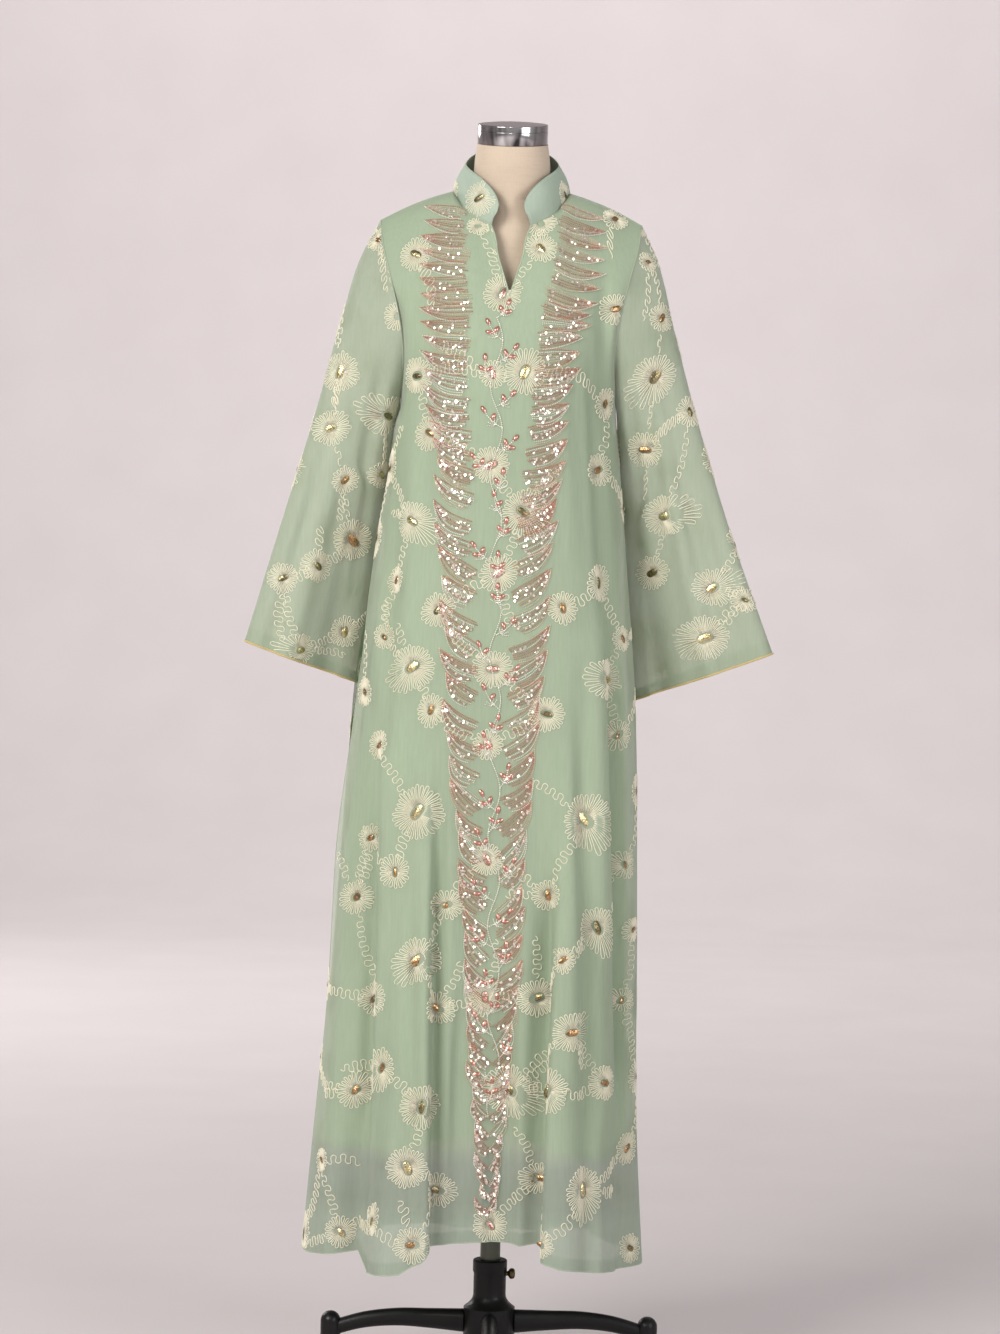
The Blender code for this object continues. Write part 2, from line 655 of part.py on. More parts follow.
def form_section(height, half_width, front, back, tilt):
    lean = -max(0.0, height - NECK_LEAN_FROM) * NECK_LEAN
    ring = []
    for column in range(FORM_SIDES):
        turn = 2.0 * math.pi * column / FORM_SIDES
        sine = math.sin(turn)
        cosine = math.cos(turn)
        depth = front if cosine >= 0 else back
        reach = (abs(cosine / depth) ** FORM_POWER + abs(sine / half_width) ** FORM_POWER) ** (-1 / FORM_POWER)
        y = -reach * cosine
        ring.append((reach * sine, y + lean, height + y * math.tan(math.radians(tilt))))
    return ring


def form_torso(collection):
    def build(shape):
        rings = [[shape.verts.new(point) for point in form_section(*row)] for row in FORM_SECTIONS]
        for lower, upper in zip(rings, rings[1:]):
            for column in range(FORM_SIDES):
                after = (column + 1) % FORM_SIDES
                shape.faces.new((lower[column], lower[after], upper[after], upper[column]))
        shape.faces.new(reversed(rings[0]))
        shape.faces.new(rings[-1])
    return new_object("form_torso", mesh_from("form_torso", build), "linen", collection)


def turned(name, profile, sides, colour, collection):
    """Turned body: its profile runs down the +X side, top to bottom, and a Screw carries it round."""
    mesh = bpy.data.meshes.new(name)
    points = [(radius, 0.0, height) for radius, height in profile]
    mesh.from_pydata(points, [(i, i + 1) for i in range(len(points) - 1)], [])
    obj = new_object(name, mesh, colour, collection)
    screw = obj.modifiers.new("turn", "SCREW")
    screw.angle = 2.0 * math.pi
    screw.steps = sides
    screw.render_steps = sides
    screw.axis = "Z"
    screw.use_merge_vertices = True
    screw.merge_threshold = 0.00001
    screw.use_smooth_shade = True
    return obj


def arc(centre, radius, start_deg, end_deg, count):
    """Profile points (radius, height) along an arc."""
    points = []
    for step in range(count + 1):
        turn = math.radians(start_deg + (end_deg - start_deg) * step / count)
        points.append((centre[0] + radius * math.cos(turn), centre[1] + radius * math.sin(turn)))
    return points


def neck_cap(collection):
    rim = 0.0022
    profile = [(0.0, CAP_TALL + CAP_DOME)]
    for share in (0.35, 0.65, 0.88):
        profile.append((CAP_RADIUS * share, CAP_TALL + CAP_DOME * (1.0 - share ** 2.2)))
    profile += arc((CAP_RADIUS - rim, CAP_TALL - rim), rim, 60.0, 0.0, 3)
    profile += [(CAP_RADIUS, 0.0), (0.0, 0.0)]
    obj = turned("neck_cap", profile, 36, "chrome", collection)
    top = FORM_SECTIONS[-1][0]
    lean = -(top - NECK_LEAN_FROM) * NECK_LEAN
    lift = SEAM_GAP
    obj.location = (0.0, lean - lift * math.sin(CAP_TILT), top + lift * math.cos(CAP_TILT))
    obj.rotation_euler = (CAP_TILT, 0.0, 0.0)
    return obj


def pole(collection):
    top = FORM_SECTIONS[0][0] - SEAM_GAP
    bpy.ops.mesh.primitive_cylinder_add(vertices=24, radius=POLE_RADIUS, depth=top - POLE_BOTTOM_Z,
                                        location=(0.0, 0.0, 0.5 * (top + POLE_BOTTOM_Z)))
    obj = bpy.context.object
    obj.name = "pole"
    obj.data.materials.append(material("steel"))
    for owner in list(obj.users_collection):
        owner.objects.unlink(obj)
    collection.objects.link(obj)
    obj.data.shade_smooth()
    obj.data.set_sharp_from_angle(angle=math.radians(50.0))
    return obj


def stand_hub(collection, cutters):
    """Socket for the pole, flaring to the foot that carries the legs."""
    bore = POLE_RADIUS + SEAM_GAP + 0.0002
    floor = POLE_BOTTOM_Z - SEAM_GAP
    lip = 0.0025
    flare = 0.115
    profile = [(0.0, floor), (bore, floor), (bore, HUB_TOP_Z)]
    profile += arc((HUB_RADIUS - lip, HUB_TOP_Z - lip), lip, 90.0, 0.0, 3)
    profile += [(HUB_RADIUS, HUB_TOP_Z - 0.016), (HUB_RADIUS - 0.0012, HUB_TOP_Z - 0.019)]
    profile += [(HUB_RADIUS - 0.0012, 0.134), (HUB_RADIUS + 0.003, 0.122), (HUB_FOOT_RADIUS, flare)]
    profile += [(HUB_FOOT_RADIUS, HUB_BOTTOM_Z + 0.006), (HUB_FOOT_RADIUS - 0.006, HUB_BOTTOM_Z)]
    profile += [(0.0, HUB_BOTTOM_Z)]
    obj = turned("stand_hub", profile, 24, "iron", collection)
    obj.rotation_euler = (0.0, 0.0, math.radians(7.5))
    bpy.ops.mesh.primitive_cylinder_add(vertices=16, radius=SCREW_RADIUS + SEAM_GAP, depth=0.04,
                                        location=(0.025, 0.0, SCREW_Z), rotation=(0.0, 0.5 * math.pi, 0.0))
    cutter = bpy.context.object
    cutter.name = "screw_hole_cutter"
    move_to(cutter, cutters)
    cut = obj.modifiers.new("screw hole", "BOOLEAN")
    cut.operation = "DIFFERENCE"
    cut.object = cutter
    return obj


def move_to(obj, collection):
    for owner in list(obj.users_collection):
        owner.objects.unlink(obj)
    collection.objects.link(obj)
    obj.hide_render = True
    obj.display_type = "WIRE"


def thumb_screw(collection):
    """Clamping screw on the wearer's left of the socket, turned about the X axis."""
    tip = POLE_RADIUS + SEAM_GAP
    shank_end = HUB_RADIUS + 0.0010
    profile = [(0.0, 0.0355), (0.0050, 0.0350), (0.0072, 0.0330), (0.0076, 0.0300), (0.0060, 0.0275)]
    profile += [(0.0042, 0.0262), (SCREW_RADIUS, shank_end), (SCREW_RADIUS, tip), (0.0, tip)]
    obj = turned("thumb_screw", profile, 16, "bronze", collection)
    obj.location = (0.0, 0.0, SCREW_Z)
    obj.rotation_euler = (0.0, 0.5 * math.pi, 0.0)
    return obj


# Leg centre line from the hub out to the post: share, height of the middle, half height, half width.
LEG_LINE = [
    (0.00, 0.0950, 0.0165, 0.0120),
    (0.25, 0.0970, 0.0140, 0.0105),
    (0.50, 0.0980, 0.0125, 0.0095),
    (0.75, 0.0930, 0.0115, 0.0090),
    (1.00, 0.0800, 0.0110, 0.0085),
]


def leg_mesh():
    """Arched arm whose outer end is sunk into the post."""
    start = HUB_FOOT_RADIUS * math.cos(math.radians(7.5)) + SEAM_GAP

    def build(shape):
        rings = []
        for step in range(11):
            share = step / 10.0
            middle, half_height, half_width = through(LEG_LINE, share)
            x = start + (LEG_REACH - start) * share
            ring = []
            for column in range(LEG_SIDES):
                turn = 2.0 * math.pi * (column + 0.5) / LEG_SIDES
                ring.append(shape.verts.new((x, half_width * math.cos(turn), middle + half_height * math.sin(turn))))
            rings.append(ring)
        for lower, upper in zip(rings, rings[1:]):
            for column in range(LEG_SIDES):
                after = (column + 1) % LEG_SIDES
                shape.faces.new((lower[column], lower[after], upper[after], upper[column]))
        shape.faces.new(reversed(rings[0]))
        shape.faces.new(rings[-1])
    return mesh_from("leg_arm", build)


def legs(collection, cutters):
    """Four cast legs, each an arm joined to an upright post with a rounded top and a flat foot."""
    arm_mesh = leg_mesh()
    foot = 0.0020
    profile = arc((0.0, POST_TOP_Z - POST_RADIUS), POST_RADIUS, 90.0, 0.0, 4)
    profile += [(POST_RADIUS, 0.020), (POST_RADIUS + 0.002, 0.010), (POST_RADIUS + 0.002, foot)]
    profile += [(POST_RADIUS, 0.0), (0.0, 0.0)]
    made = []
    for name, turn in (("left", 0.0), ("back", 90.0), ("right", 180.0), ("front", 270.0)):
        angle = math.radians(turn)
        arm = new_object("leg_" + name, arm_mesh.copy(), "iron", collection)
        arm.rotation_euler = (0.0, 0.0, angle)
        post = turned("post_" + name, profile, 16, "iron", cutters)
        post.location = (LEG_REACH * math.cos(angle), LEG_REACH * math.sin(angle), 0.0)
        post.rotation_euler = (0.0, 0.0, angle)
        post.hide_render = True
        post.display_type = "WIRE"
        join = arm.modifiers.new("post", "BOOLEAN")
        join.operation = "UNION"
        join.object = post
        made.append(arm)
    return made


def clear_scene():
    for obj in list(bpy.data.objects):
        bpy.data.objects.remove(obj, do_unlink=True)


def main():
    clear_scene()
    parts = bpy.data.collections.new("abaya_on_dress_form")
    cutters = bpy.data.collections.new("cutters")
    bpy.context.scene.collection.children.link(parts)
    bpy.context.scene.collection.children.link(cutters)
    dress(parts)
    lining(parts)
    for side_name in ("right", "left"):
        cuff_edge(side_name, parts)
    form_torso(parts)
    neck_cap(parts)
    pole(parts)
    stand_hub(parts, cutters)
    thumb_screw(parts)
    legs(parts, cutters)


main()
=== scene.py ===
"""Looks of a mint chiffon abaya, embroidered and beaded, on a limbless dress form and cast stand.

Metres, +Z up, front at -Y, and +X is the wearer's left. The cloth follows the same sizes as the solids.
"""

import math
import random
from itertools import combinations

import bmesh
import bpy
import numpy as np
from mathutils import Matrix, Vector
from mathutils.bvhtree import BVHTree


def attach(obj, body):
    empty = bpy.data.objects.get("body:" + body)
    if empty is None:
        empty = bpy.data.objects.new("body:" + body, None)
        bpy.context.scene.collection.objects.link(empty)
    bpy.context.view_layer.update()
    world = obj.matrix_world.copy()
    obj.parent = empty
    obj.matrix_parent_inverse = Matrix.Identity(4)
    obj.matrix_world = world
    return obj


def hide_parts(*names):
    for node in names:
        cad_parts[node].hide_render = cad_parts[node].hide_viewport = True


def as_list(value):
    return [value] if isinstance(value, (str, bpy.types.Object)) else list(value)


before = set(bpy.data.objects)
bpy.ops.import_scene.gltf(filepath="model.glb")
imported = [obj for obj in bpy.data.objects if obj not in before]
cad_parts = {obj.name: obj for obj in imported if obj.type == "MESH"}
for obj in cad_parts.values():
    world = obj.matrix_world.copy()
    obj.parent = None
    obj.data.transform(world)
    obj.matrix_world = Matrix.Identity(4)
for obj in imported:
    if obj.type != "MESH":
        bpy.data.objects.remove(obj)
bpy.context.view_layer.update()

CLOTH = 0.0010
ARMPIT_Z = 1.387
HEM_Z = 0.199
LINING_HEM_Z = 0.350

# Horizontal sections of the dress at its outer skin: height, and how far it reaches from the pole's
# axis to the right, left, front and back.
SECTIONS = [
    (1.440, 0.150, 0.149, 0.121, 0.106),
    (1.387, 0.152, 0.150, 0.123, 0.108),
    (1.300, 0.163, 0.158, 0.125, 0.112),
    (1.200, 0.177, 0.167, 0.128, 0.118),
    (1.100, 0.190, 0.176, 0.131, 0.125),
    (1.000, 0.205, 0.185, 0.135, 0.132),
    (0.900, 0.212, 0.190, 0.139, 0.137),
    (0.750, 0.221, 0.194, 0.144, 0.143),
    (0.600, 0.230, 0.197, 0.148, 0.149),
    (0.400, 0.248, 0.200, 0.152, 0.156),
    (0.180, 0.266, 0.213, 0.156, 0.163),
]
SECTION_POWER = 2.2

# Folds of the skirt: name, degrees from centre front towards the wearer's left, at the fold's upper end
# and at the hem, how far it stands out at the hem, the width of each flank in degrees, and the
# height at which it dies out.
SKIRT_FOLDS = [
    ("centre front dip", 0.0, -3.0, -0.050, 25.0, 27.0, 1.22),
    ("right front fold", -36.0, -38.0, 0.022, 12.0, 11.0, 1.10),
    ("right front dip", -52.0, -57.0, -0.020, 9.0, 9.0, 1.00),
    ("left front fold", 33.0, 34.0, 0.020, 8.0, 24.0, 1.02),
    ("left side dip", 62.0, 70.0, -0.015, 9.0, 9.0, 1.28),
    ("right side ripple", -74.0, -74.0, 0.006, 8.0, 9.0, 0.80),
    ("left back dip", 112.0, 116.0, -0.016, 11.0, 11.0, 1.00),
    ("left back fold", 138.0, 142.0, 0.022, 14.0, 12.0, 1.15),
    ("centre back dip", 176.0, 174.0, -0.026, 20.0, 18.0, 1.20),
    ("right back fold", 215.0, 212.0, 0.020, 12.0, 14.0, 1.12),
    ("right back dip", 240.0, 238.0, -0.018, 11.0, 10.0, 0.95),
]

# The hem is lifted over the centre front and falls a little lower at the wearer's left: angle, lift
# and flank.
HEM_LIFTS = [(-3.0, 0.024, 34.0), (80.0, -0.014, 40.0)]

# Shoulders and neckline, drawn for the wearer's left and mirrored for the right.
NECK_ANGLE = 38.0
NECK_POINT = np.array((0.082, 0.0, 1.676))
SHOULDER_TIP = np.array((0.182, 0.0, 1.634))
SHOULDER_RISE = 0.004
FRONT_NECKLINE = [(0.0, 0.0275, -0.0660, 1.6235), (0.5, 0.0600, -0.0460, 1.6430), (1.0, *NECK_POINT)]
BACK_NECKLINE = [(0.0, 0.0, 0.0660, 1.6980), (0.5, 0.0520, 0.0470, 1.6920), (1.0, *NECK_POINT)]

# The neck slit from its notch upwards: share of the bodice's rise, half width.
SLIT = [(0.50, 0.0), (0.62, 0.0085), (0.75, 0.0170), (0.88, 0.0210), (1.0, 0.0275)]

# Armhole, from the armpit up to the shoulder tip: share, distance out, depth to the front or back.
ARMHOLE_OUT = [(0.0, 0.151), (0.25, 0.1475), (0.45, 0.1530), (0.65, 0.1640), (0.85, 0.1765), (1.0, 0.182)]
ARMHOLE_DEPTH = {"front": 0.056, "back": 0.054}
ARMHOLE_FADE = 0.45

# Columns between named angles, and rows, of the four body panels.
FRONT_COLUMNS = [(-90.0, -38.0, 8), (-38.0, 0.0, 8), (0.0, 38.0, 8), (38.0, 90.0, 8)]
BACK_COLUMNS = [(90.0, 142.0, 6), (142.0, 218.0, 10), (218.0, 270.0, 6)]
BODICE_ROWS = 10
SKIRT_ROWS = 18
SLIT_START_ROW = 5
SPACING_HEIGHT = 0.73

# The lining hangs inside the dress from the neck and shoulders, close there and freer below.
LINING_SKIRT_ROWS = 9
LINING_SHRINK_SEAM = 0.0012
LINING_SHRINK_TOP = 0.0036
LINING_SHRINK_SKIRT = 0.013
LINING_FREE_ROWS = 3
LINING_FOLD_SHARE = 0.75

# Sleeve rails: share of the length, outer edge and inner edge as distance out, height and depth
# behind the pole's axis, and how far the cloth stands to the front and back of the chord between.
SLEEVE_RAILS = {
    "right": [
        (0.00, 0.1820, 1.634, 0.000, 0.151, 1.387, 0.000, 0.056, 0.054),
        (0.10, 0.2085, 1.583, 0.000, 0.160, 1.345, 0.012, 0.054, 0.052),
        (0.25, 0.2330, 1.500, 0.000, 0.167, 1.295, 0.028, 0.049, 0.045),
        (0.50, 0.2690, 1.361, -0.002, 0.177, 1.200, 0.050, 0.043, 0.038),
        (0.75, 0.3140, 1.205, -0.004, 0.186, 1.090, 0.068, 0.040, 0.034),
        (1.00, 0.3600, 1.045, -0.006, 0.196, 0.985, 0.082, 0.040, 0.034),
    ],
    "left": [
        (0.00, 0.1820, 1.634, 0.000, 0.151, 1.387, 0.000, 0.056, 0.054),
        (0.10, 0.2060, 1.583, 0.000, 0.159, 1.345, 0.012, 0.054, 0.052),
        (0.25, 0.2300, 1.492, 0.000, 0.163, 1.290, 0.030, 0.049, 0.045),
        (0.50, 0.2665, 1.361, -0.002, 0.168, 1.190, 0.052, 0.044, 0.038),
        (0.75, 0.3170, 1.203, -0.004, 0.174, 1.075, 0.070, 0.041, 0.034),
        (1.00, 0.3770, 1.042, -0.006, 0.181, 0.968, 0.084, 0.041, 0.034),
    ],
}

# Sleeve folds by wall: place across the sleeve from its inner edge (0) to its outer edge (1), how far
# the fold stands out at the cuff, half width as a share, and where it starts.
SLEEVE_FOLDS = {
    "right": [
        ("front", 0.34, -0.016, 0.16, 0.4),
        ("front", 0.62, 0.01, 0.18, 0.3),
        ("back", 0.45, -0.014, 0.2, 0.35),
    ],
    "left": [
        ("front", 0.26, -0.018, 0.14, 0.45),
        ("front", 0.55, 0.01, 0.18, 0.25),
        ("back", 0.5, -0.014, 0.2, 0.35),
    ],
}
SLEEVE_FADE = 0.25

# Stand collar: its top edge from the rounded front end round to centre back.
COLLAR_TOP = [
    (0.00, 0.0115, -0.0740, 1.6540),
    (0.25, 0.0420, -0.0560, 1.6890),
    (0.50, 0.0610, -0.0060, 1.7200),
    (0.75, 0.0450, 0.0360, 1.7380),
    (1.00, 0.0000, 0.0530, 1.7430),
]
COLLAR_BOW = 0.004
COLLAR_ROUND = 0.14
COLLAR_ROUND_DEEP = 0.42

# Dress form sections from its base up: height, half width, front, back, forward tilt in degrees.
FORM_SECTIONS = [
    (0.900, 0.136, 0.078, 0.090, 0.0),
    (0.906, 0.146, 0.086, 0.098, 0.0),
    (0.960, 0.158, 0.094, 0.106, 0.0),
    (1.030, 0.160, 0.096, 0.104, 0.0),
    (1.110, 0.142, 0.094, 0.090, 0.0),
    (1.200, 0.117, 0.084, 0.076, 0.0),
    (1.290, 0.124, 0.095, 0.084, 0.0),
    (1.360, 0.138, 0.112, 0.094, 0.0),
    (1.420, 0.137, 0.111, 0.095, 0.0),
    (1.480, 0.136, 0.094, 0.094, 0.0),
    (1.540, 0.144, 0.074, 0.084, 0.0),
    (1.590, 0.155, 0.050, 0.066, 0.0),
    (1.6239, 0.154, 0.036, 0.049, 0.0),
    (1.6399, 0.148, 0.025, 0.040, 0.0),
    (1.6529, 0.130, 0.017, 0.032, 0.0),
    (1.6619, 0.104, 0.013, 0.030, 0.0),
    (1.6650, 0.068, 0.022, 0.040, 2.0),
    (1.674, 0.061, 0.036, 0.046, 5.0),
    (1.690, 0.0545, 0.046, 0.050, 9.0),
    (1.720, 0.0525, 0.0495, 0.0495, 11.0),
    (1.741, 0.0495, 0.0480, 0.0480, 12.0),
]
FORM_POWER = 2.15
NECK_LEAN_FROM = 1.640
NECK_LEAN = 0.21

# Neck cap.
CAP_RADIUS = 0.0488
CAP_TALL = 0.0270
CAP_TILT = math.radians(12.0)


def smooth(share):
    """A share kept between 0 and 1 and eased at both ends; also for arrays."""
    share = min(1.0, max(0.0, share)) if isinstance(share, float) else np.clip(share, 0.0, 1.0)
    return share * share * (3.0 - 2.0 * share)


def hermite(start, start_pull, end, end_pull, t):
    value = (1 + 2 * t) * (1 - t) ** 2 * start + t * (1 - t) ** 2 * start_pull
    return value + t * t * (3 - 2 * t) * end - t * t * (1 - t) * end_pull


CURVES = {}


def through(rows, place):
    """Smooth curve through table rows whose first column is the place along it."""
    if id(rows) not in CURVES:
        table = np.asarray(rows, float)
        table = table[::-1] if table[0, 0] > table[-1, 0] else table
        CURVES[id(rows)] = (rows, table[:, 0], table[:, 1:], np.gradient(table[:, 1:], table[:, 0], axis=0))
    _, keys, values, slopes = CURVES[id(rows)]
    place = min(keys[-1], max(keys[0], place))
    cell = min(len(keys) - 2, max(0, int(np.searchsorted(keys, place, side="right")) - 1))
    span = keys[cell + 1] - keys[cell]
    return hermite(values[cell], span * slopes[cell], values[cell + 1], span * slopes[cell + 1],
                   (place - keys[cell]) / span)


def bump(angle, centre, before, after):
    """A rounded rise of height 1 at the centre, with a flank of its own width on each side."""
    off = (angle - centre + 180.0) % 360.0 - 180.0
    flank = before if off < 0 else after
    if abs(off) >= flank * 1.6:
        return 0.0
    return math.cos(0.5 * math.pi * off / (flank * 1.6)) ** 2


def hem_height(angle):
    return HEM_Z + sum(lift * bump(angle, at, flank, flank) for at, lift, flank in HEM_LIFTS)


def fold_depth(angle, height):
    total = 0.0
    for _, angle_top, angle_hem, out, before, after, top in SKIRT_FOLDS:
        down = (top - height) / (top - HEM_Z)
        if down > 0:
            centre = angle_top + (angle_hem - angle_top) * down
            total += out * min(down, 1.1) ** 1.25 * bump(angle, centre, before, after)
    return total


def ring_point(angle, height, fold_share=1.0):
    """Outer skin of the dress below the armpits, at a polar angle from centre front."""
    right, left, front, back = through(SECTIONS, height)
    sine = math.sin(math.radians(angle))
    cosine = math.cos(math.radians(angle))
    width = left if sine >= 0 else right
    depth = front if cosine >= 0 else back
    power = SECTION_POWER
    reach = (abs(cosine / depth) ** power + abs(sine / width) ** power) ** (-1.0 / power)
    reach += fold_depth(angle, height) * fold_share
    return np.array((reach * sine, -reach * cosine, height))


def armhole_point(share, part):
    out = through(ARMHOLE_OUT, share)[0]
    height = ARMPIT_Z + (SHOULDER_TIP[2] - ARMPIT_Z) * share
    depth = ARMHOLE_DEPTH[part] * math.sin(math.pi * share) ** 0.75 if 0.0 < share < 1.0 else 0.0
    return np.array((out, -depth if part == "front" else depth, height))


def plain_rise(angle, share, part):
    """Bodice column from the armpit level to the shoulder seam or neckline, before the armhole bow."""
    across = abs((angle if part == "front" else angle - 180.0)) / 90.0
    neck = NECK_ANGLE / 90.0
    sign = 1.0 if part == "front" else -1.0
    start = ring_point(abs(angle) if part == "front" else 180.0 - abs(angle - 180.0), ARMPIT_Z)
    start[0] = abs(start[0])
    if across >= neck:
        along = (across - neck) / (1.0 - neck)
        end = NECK_POINT + (SHOULDER_TIP - NECK_POINT) * along
        end[2] += SHOULDER_RISE * math.sin(math.pi * along)
        lean = np.array((0.0, sign, 0.0))
    else:
        along = across / neck
        end = through(FRONT_NECKLINE if part == "front" else BACK_NECKLINE, along)
        steep = 0.94 * (1.0 - smooth(along))
        lean = np.array((0.0, sign * (0.35 + 0.65 * smooth(along)), steep))
    reach = np.linalg.norm(end - start)
    pulls = (1.15, 0.60) if part == "front" else (1.10, 0.75)
    up = np.array((0.0, 0.0, reach * pulls[0]))
    return hermite(start, up, end, lean * reach * pulls[1], share), across


def bodice_point(angle, share, part, side):
    """Outer skin above the armpits; side is +1 for the wearer's left and -1 for the right."""
    point, across = plain_rise(angle, share, part)
    edge, _ = plain_rise(90.0 if part == "front" else 90.0 + 1e-9, share, part)
    weight = smooth((across - ARMHOLE_FADE) / (1.0 - ARMHOLE_FADE)) ** 2
    point = point + weight * (armhole_point(share, part) - edge)
    neck = NECK_ANGLE / 90.0
    if part == "front" and across < neck:
        middle, _ = plain_rise(0.0, share, part)
        slit = through(SLIT, share)[0] if share > SLIT[0][0] else 0.0
        point[0] += (slit - middle[0]) * (1.0 - across / neck) ** 2
    return point * np.array((side, 1.0, 1.0))


def skin_point(angle, level, part, side, fold_share=1.0, hem_rise=0.0):
    """Level 0 is the armpits, 1 is the hem and -1 is the shoulder seam or neckline."""
    if level <= 0:
        return bodice_point(angle, -level, part, side)
    foot = hem_height(angle) + hem_rise
    return ring_point(angle, ARMPIT_Z + (foot - ARMPIT_Z) * level, fold_share)


def even_angles(spans):
    """Angles spaced evenly along the folded section inside each named span."""
    angles = [spans[0][0]]
    for start, end, count in spans:
        fine = np.linspace(start, end, 200)
        points = np.array([ring_point(angle, SPACING_HEIGHT) for angle in fine])
        steps = np.linalg.norm(np.diff(points, axis=0), axis=1)
        length = np.concatenate(([0.0], np.cumsum(steps)))
        angles.extend(np.interp(np.linspace(0.0, length[-1], count + 1)[1:], length, fine))
    return angles


def collar_base(share):
    if share <= 0.5:
        return through(FRONT_NECKLINE, share * 2.0)
    return through(BACK_NECKLINE, (1.0 - share) * 2.0)


def collar_point(share, rise, side):
    """Collar skin, whose front ends are rounded and whose rim dips a little at the sides."""
    base = collar_base(share)
    top = through(COLLAR_TOP, share)
    if share < COLLAR_ROUND:
        off = 1.0 - share / COLLAR_ROUND
        rise = rise * (1.0 - COLLAR_ROUND_DEEP + COLLAR_ROUND_DEEP * math.sqrt(1.0 - off * off))
        base = base + (np.array((0.0030, 0.0, 0.0)) * off * math.sin(math.pi * rise))
    rise = rise * (1.0 - 0.13 * bump(share * 100.0, 50.0, 22.0, 22.0))
    point = base + (top - base) * rise
    outward = np.array((point[0], point[1], 0.0))
    outward /= max(1e-9, np.linalg.norm(outward))
    point = point + outward * COLLAR_BOW * math.sin(math.pi * rise)
    return point * np.array((side, 1.0, 1.0))


def sleeve_rails(side_name, share):
    rails = through(SLEEVE_RAILS[side_name], share)
    outer_x, outer_z, outer_y, inner_x, inner_z, inner_y, front, back = rails
    return np.array((outer_x, outer_y, outer_z)), np.array((inner_x, inner_y, inner_z)), front, back


def sleeve_fold(side_name, wall, across, share):
    total = 0.0
    for fold_wall, place, out, half, start in SLEEVE_FOLDS[side_name]:
        off = (across - place) / half
        if fold_wall == wall and abs(off) < 1.0:
            total += out * smooth((share - start) / (1.0 - start)) * math.cos(0.5 * math.pi * off) ** 2
    return total


def sleeve_shape(side_name, turn, share):
    """Sleeve skin for the wearer's left; turn runs 0 at the outer edge, over the front, to 2 pi."""
    outer, inner, front, back = sleeve_rails(side_name, share)
    wall = "front" if math.sin(turn) >= 0 else "back"
    across = 0.5 + 0.5 * math.cos(turn)
    depth = (front if wall == "front" else back) * abs(math.sin(turn)) ** 0.85
    depth += sleeve_fold(side_name, wall, across, share)
    point = inner + (outer - inner) * across
    point[1] += -depth if wall == "front" else depth
    return point


def sleeve_point(side_name, turn, share, side):
    point = sleeve_shape(side_name, turn, share)
    part = "front" if math.sin(turn) >= 0 else "back"
    rise = 0.5 + 0.5 * math.cos(turn)
    seam = armhole_point(rise, part) - sleeve_shape(side_name, turn, 0.0)
    point = point + seam * (1.0 - smooth(share / SLEEVE_FADE)) ** 1.5
    return point * np.array((side, 1.0, 1.0))


# The photograph's frame: its size, the camera and the lens, from which a place in it becomes a place
# on the cloth.
PHOTO_WIDE = 1000
PHOTO_TALL = 1334
CAMERA_PLACE = Vector((-0.003, -4.73, 1.107))
CAMERA_DOWN = math.radians(1.13)
CAMERA_ROLL = math.radians(1.16)
LENS_MM = 91.2
SENSOR_MM = 36.0
PIXEL_M = 0.0014

CAMERA_POSE = (Matrix.Translation(CAMERA_PLACE) @ Matrix.Rotation(math.radians(90.0) - CAMERA_DOWN, 4, "X")
               @ Matrix.Rotation(CAMERA_ROLL, 4, "Z"))


def photo_place(points):
    """Column and row of world points in the photograph."""
    inverse = np.array(CAMERA_POSE.inverted())
    points = np.asarray(points)
    local = points @ inverse[:3, :3].T + inverse[:3, 3]
    focal = LENS_MM / SENSOR_MM * PHOTO_TALL
    columns = 0.5 * PHOTO_WIDE + local[..., 0] / -local[..., 2] * focal
    rows = 0.5 * PHOTO_TALL - local[..., 1] / -local[..., 2] * focal
    return columns, rows


FINE = 4

# Soft creases of the front, by column of the photograph at each end: upper row, lower row, column at
# the upper end, column at the lower end, how far out in mm, width of each flank in columns.
FRONT_CREASES = [
    (600, 1000, 369, 361, -7.0, 9, 9),
    (640, 1256, 389, 375, 11.5, 8, 17),
    (740, 1250, 438, 437, -19.0, 6, 9),
    (860, 1256, 426, 423, 9.8, 12, 5),
    (640, 1256, 379, 364, -13.0, 9, 6),
    (1090, 1256, 367, 362, 8.4, 3, 10),
    (1090, 1256, 357, 353, -7.0, 8, 3.5),
    (700, 1240, 350, 330, 8.4, 9, 10),
    (560, 1000, 362, 347, -7.0, 7, 8),
    (820, 1256, 563, 548, 19.0, 5, 24),
    (820, 1256, 552, 535, -20.0, 14, 5),
    (590, 1100, 616, 622, -11.2, 3.5, 5),
    (330, 620, 589, 604, -6.0, 5, 10),
    (540, 1120, 609, 622, -11.2, 5, 9),
    (560, 1160, 597, 611, 7.0, 10, 7),
    (640, 1240, 580, 588, -7.0, 8, 10),
    (400, 700, 415, 406, 4.0, 9, 12),
    (420, 760, 396, 384, -7.0, 8, 8),
    (900, 1250, 486, 478, 7.0, 12, 14),
    (960, 1240, 506, 508, -7.0, 8, 9),
    (980, 1235, 462, 452, -7.0, 8, 8),
    (880, 1250, 604, 612, -5.6, 7, 8),
    (300, 520, 432, 424, -3.0, 8, 9),
    (330, 560, 556, 572, 3.0, 12, 10),
    (260, 420, 398, 396, -4.0, 7, 9),
    (270, 420, 604, 606, -4.0, 8, 6),
    (840, 1250, 412, 414, -5.6, 7, 7),
    (700, 1100, 572, 570, 4.2, 9, 9),
]

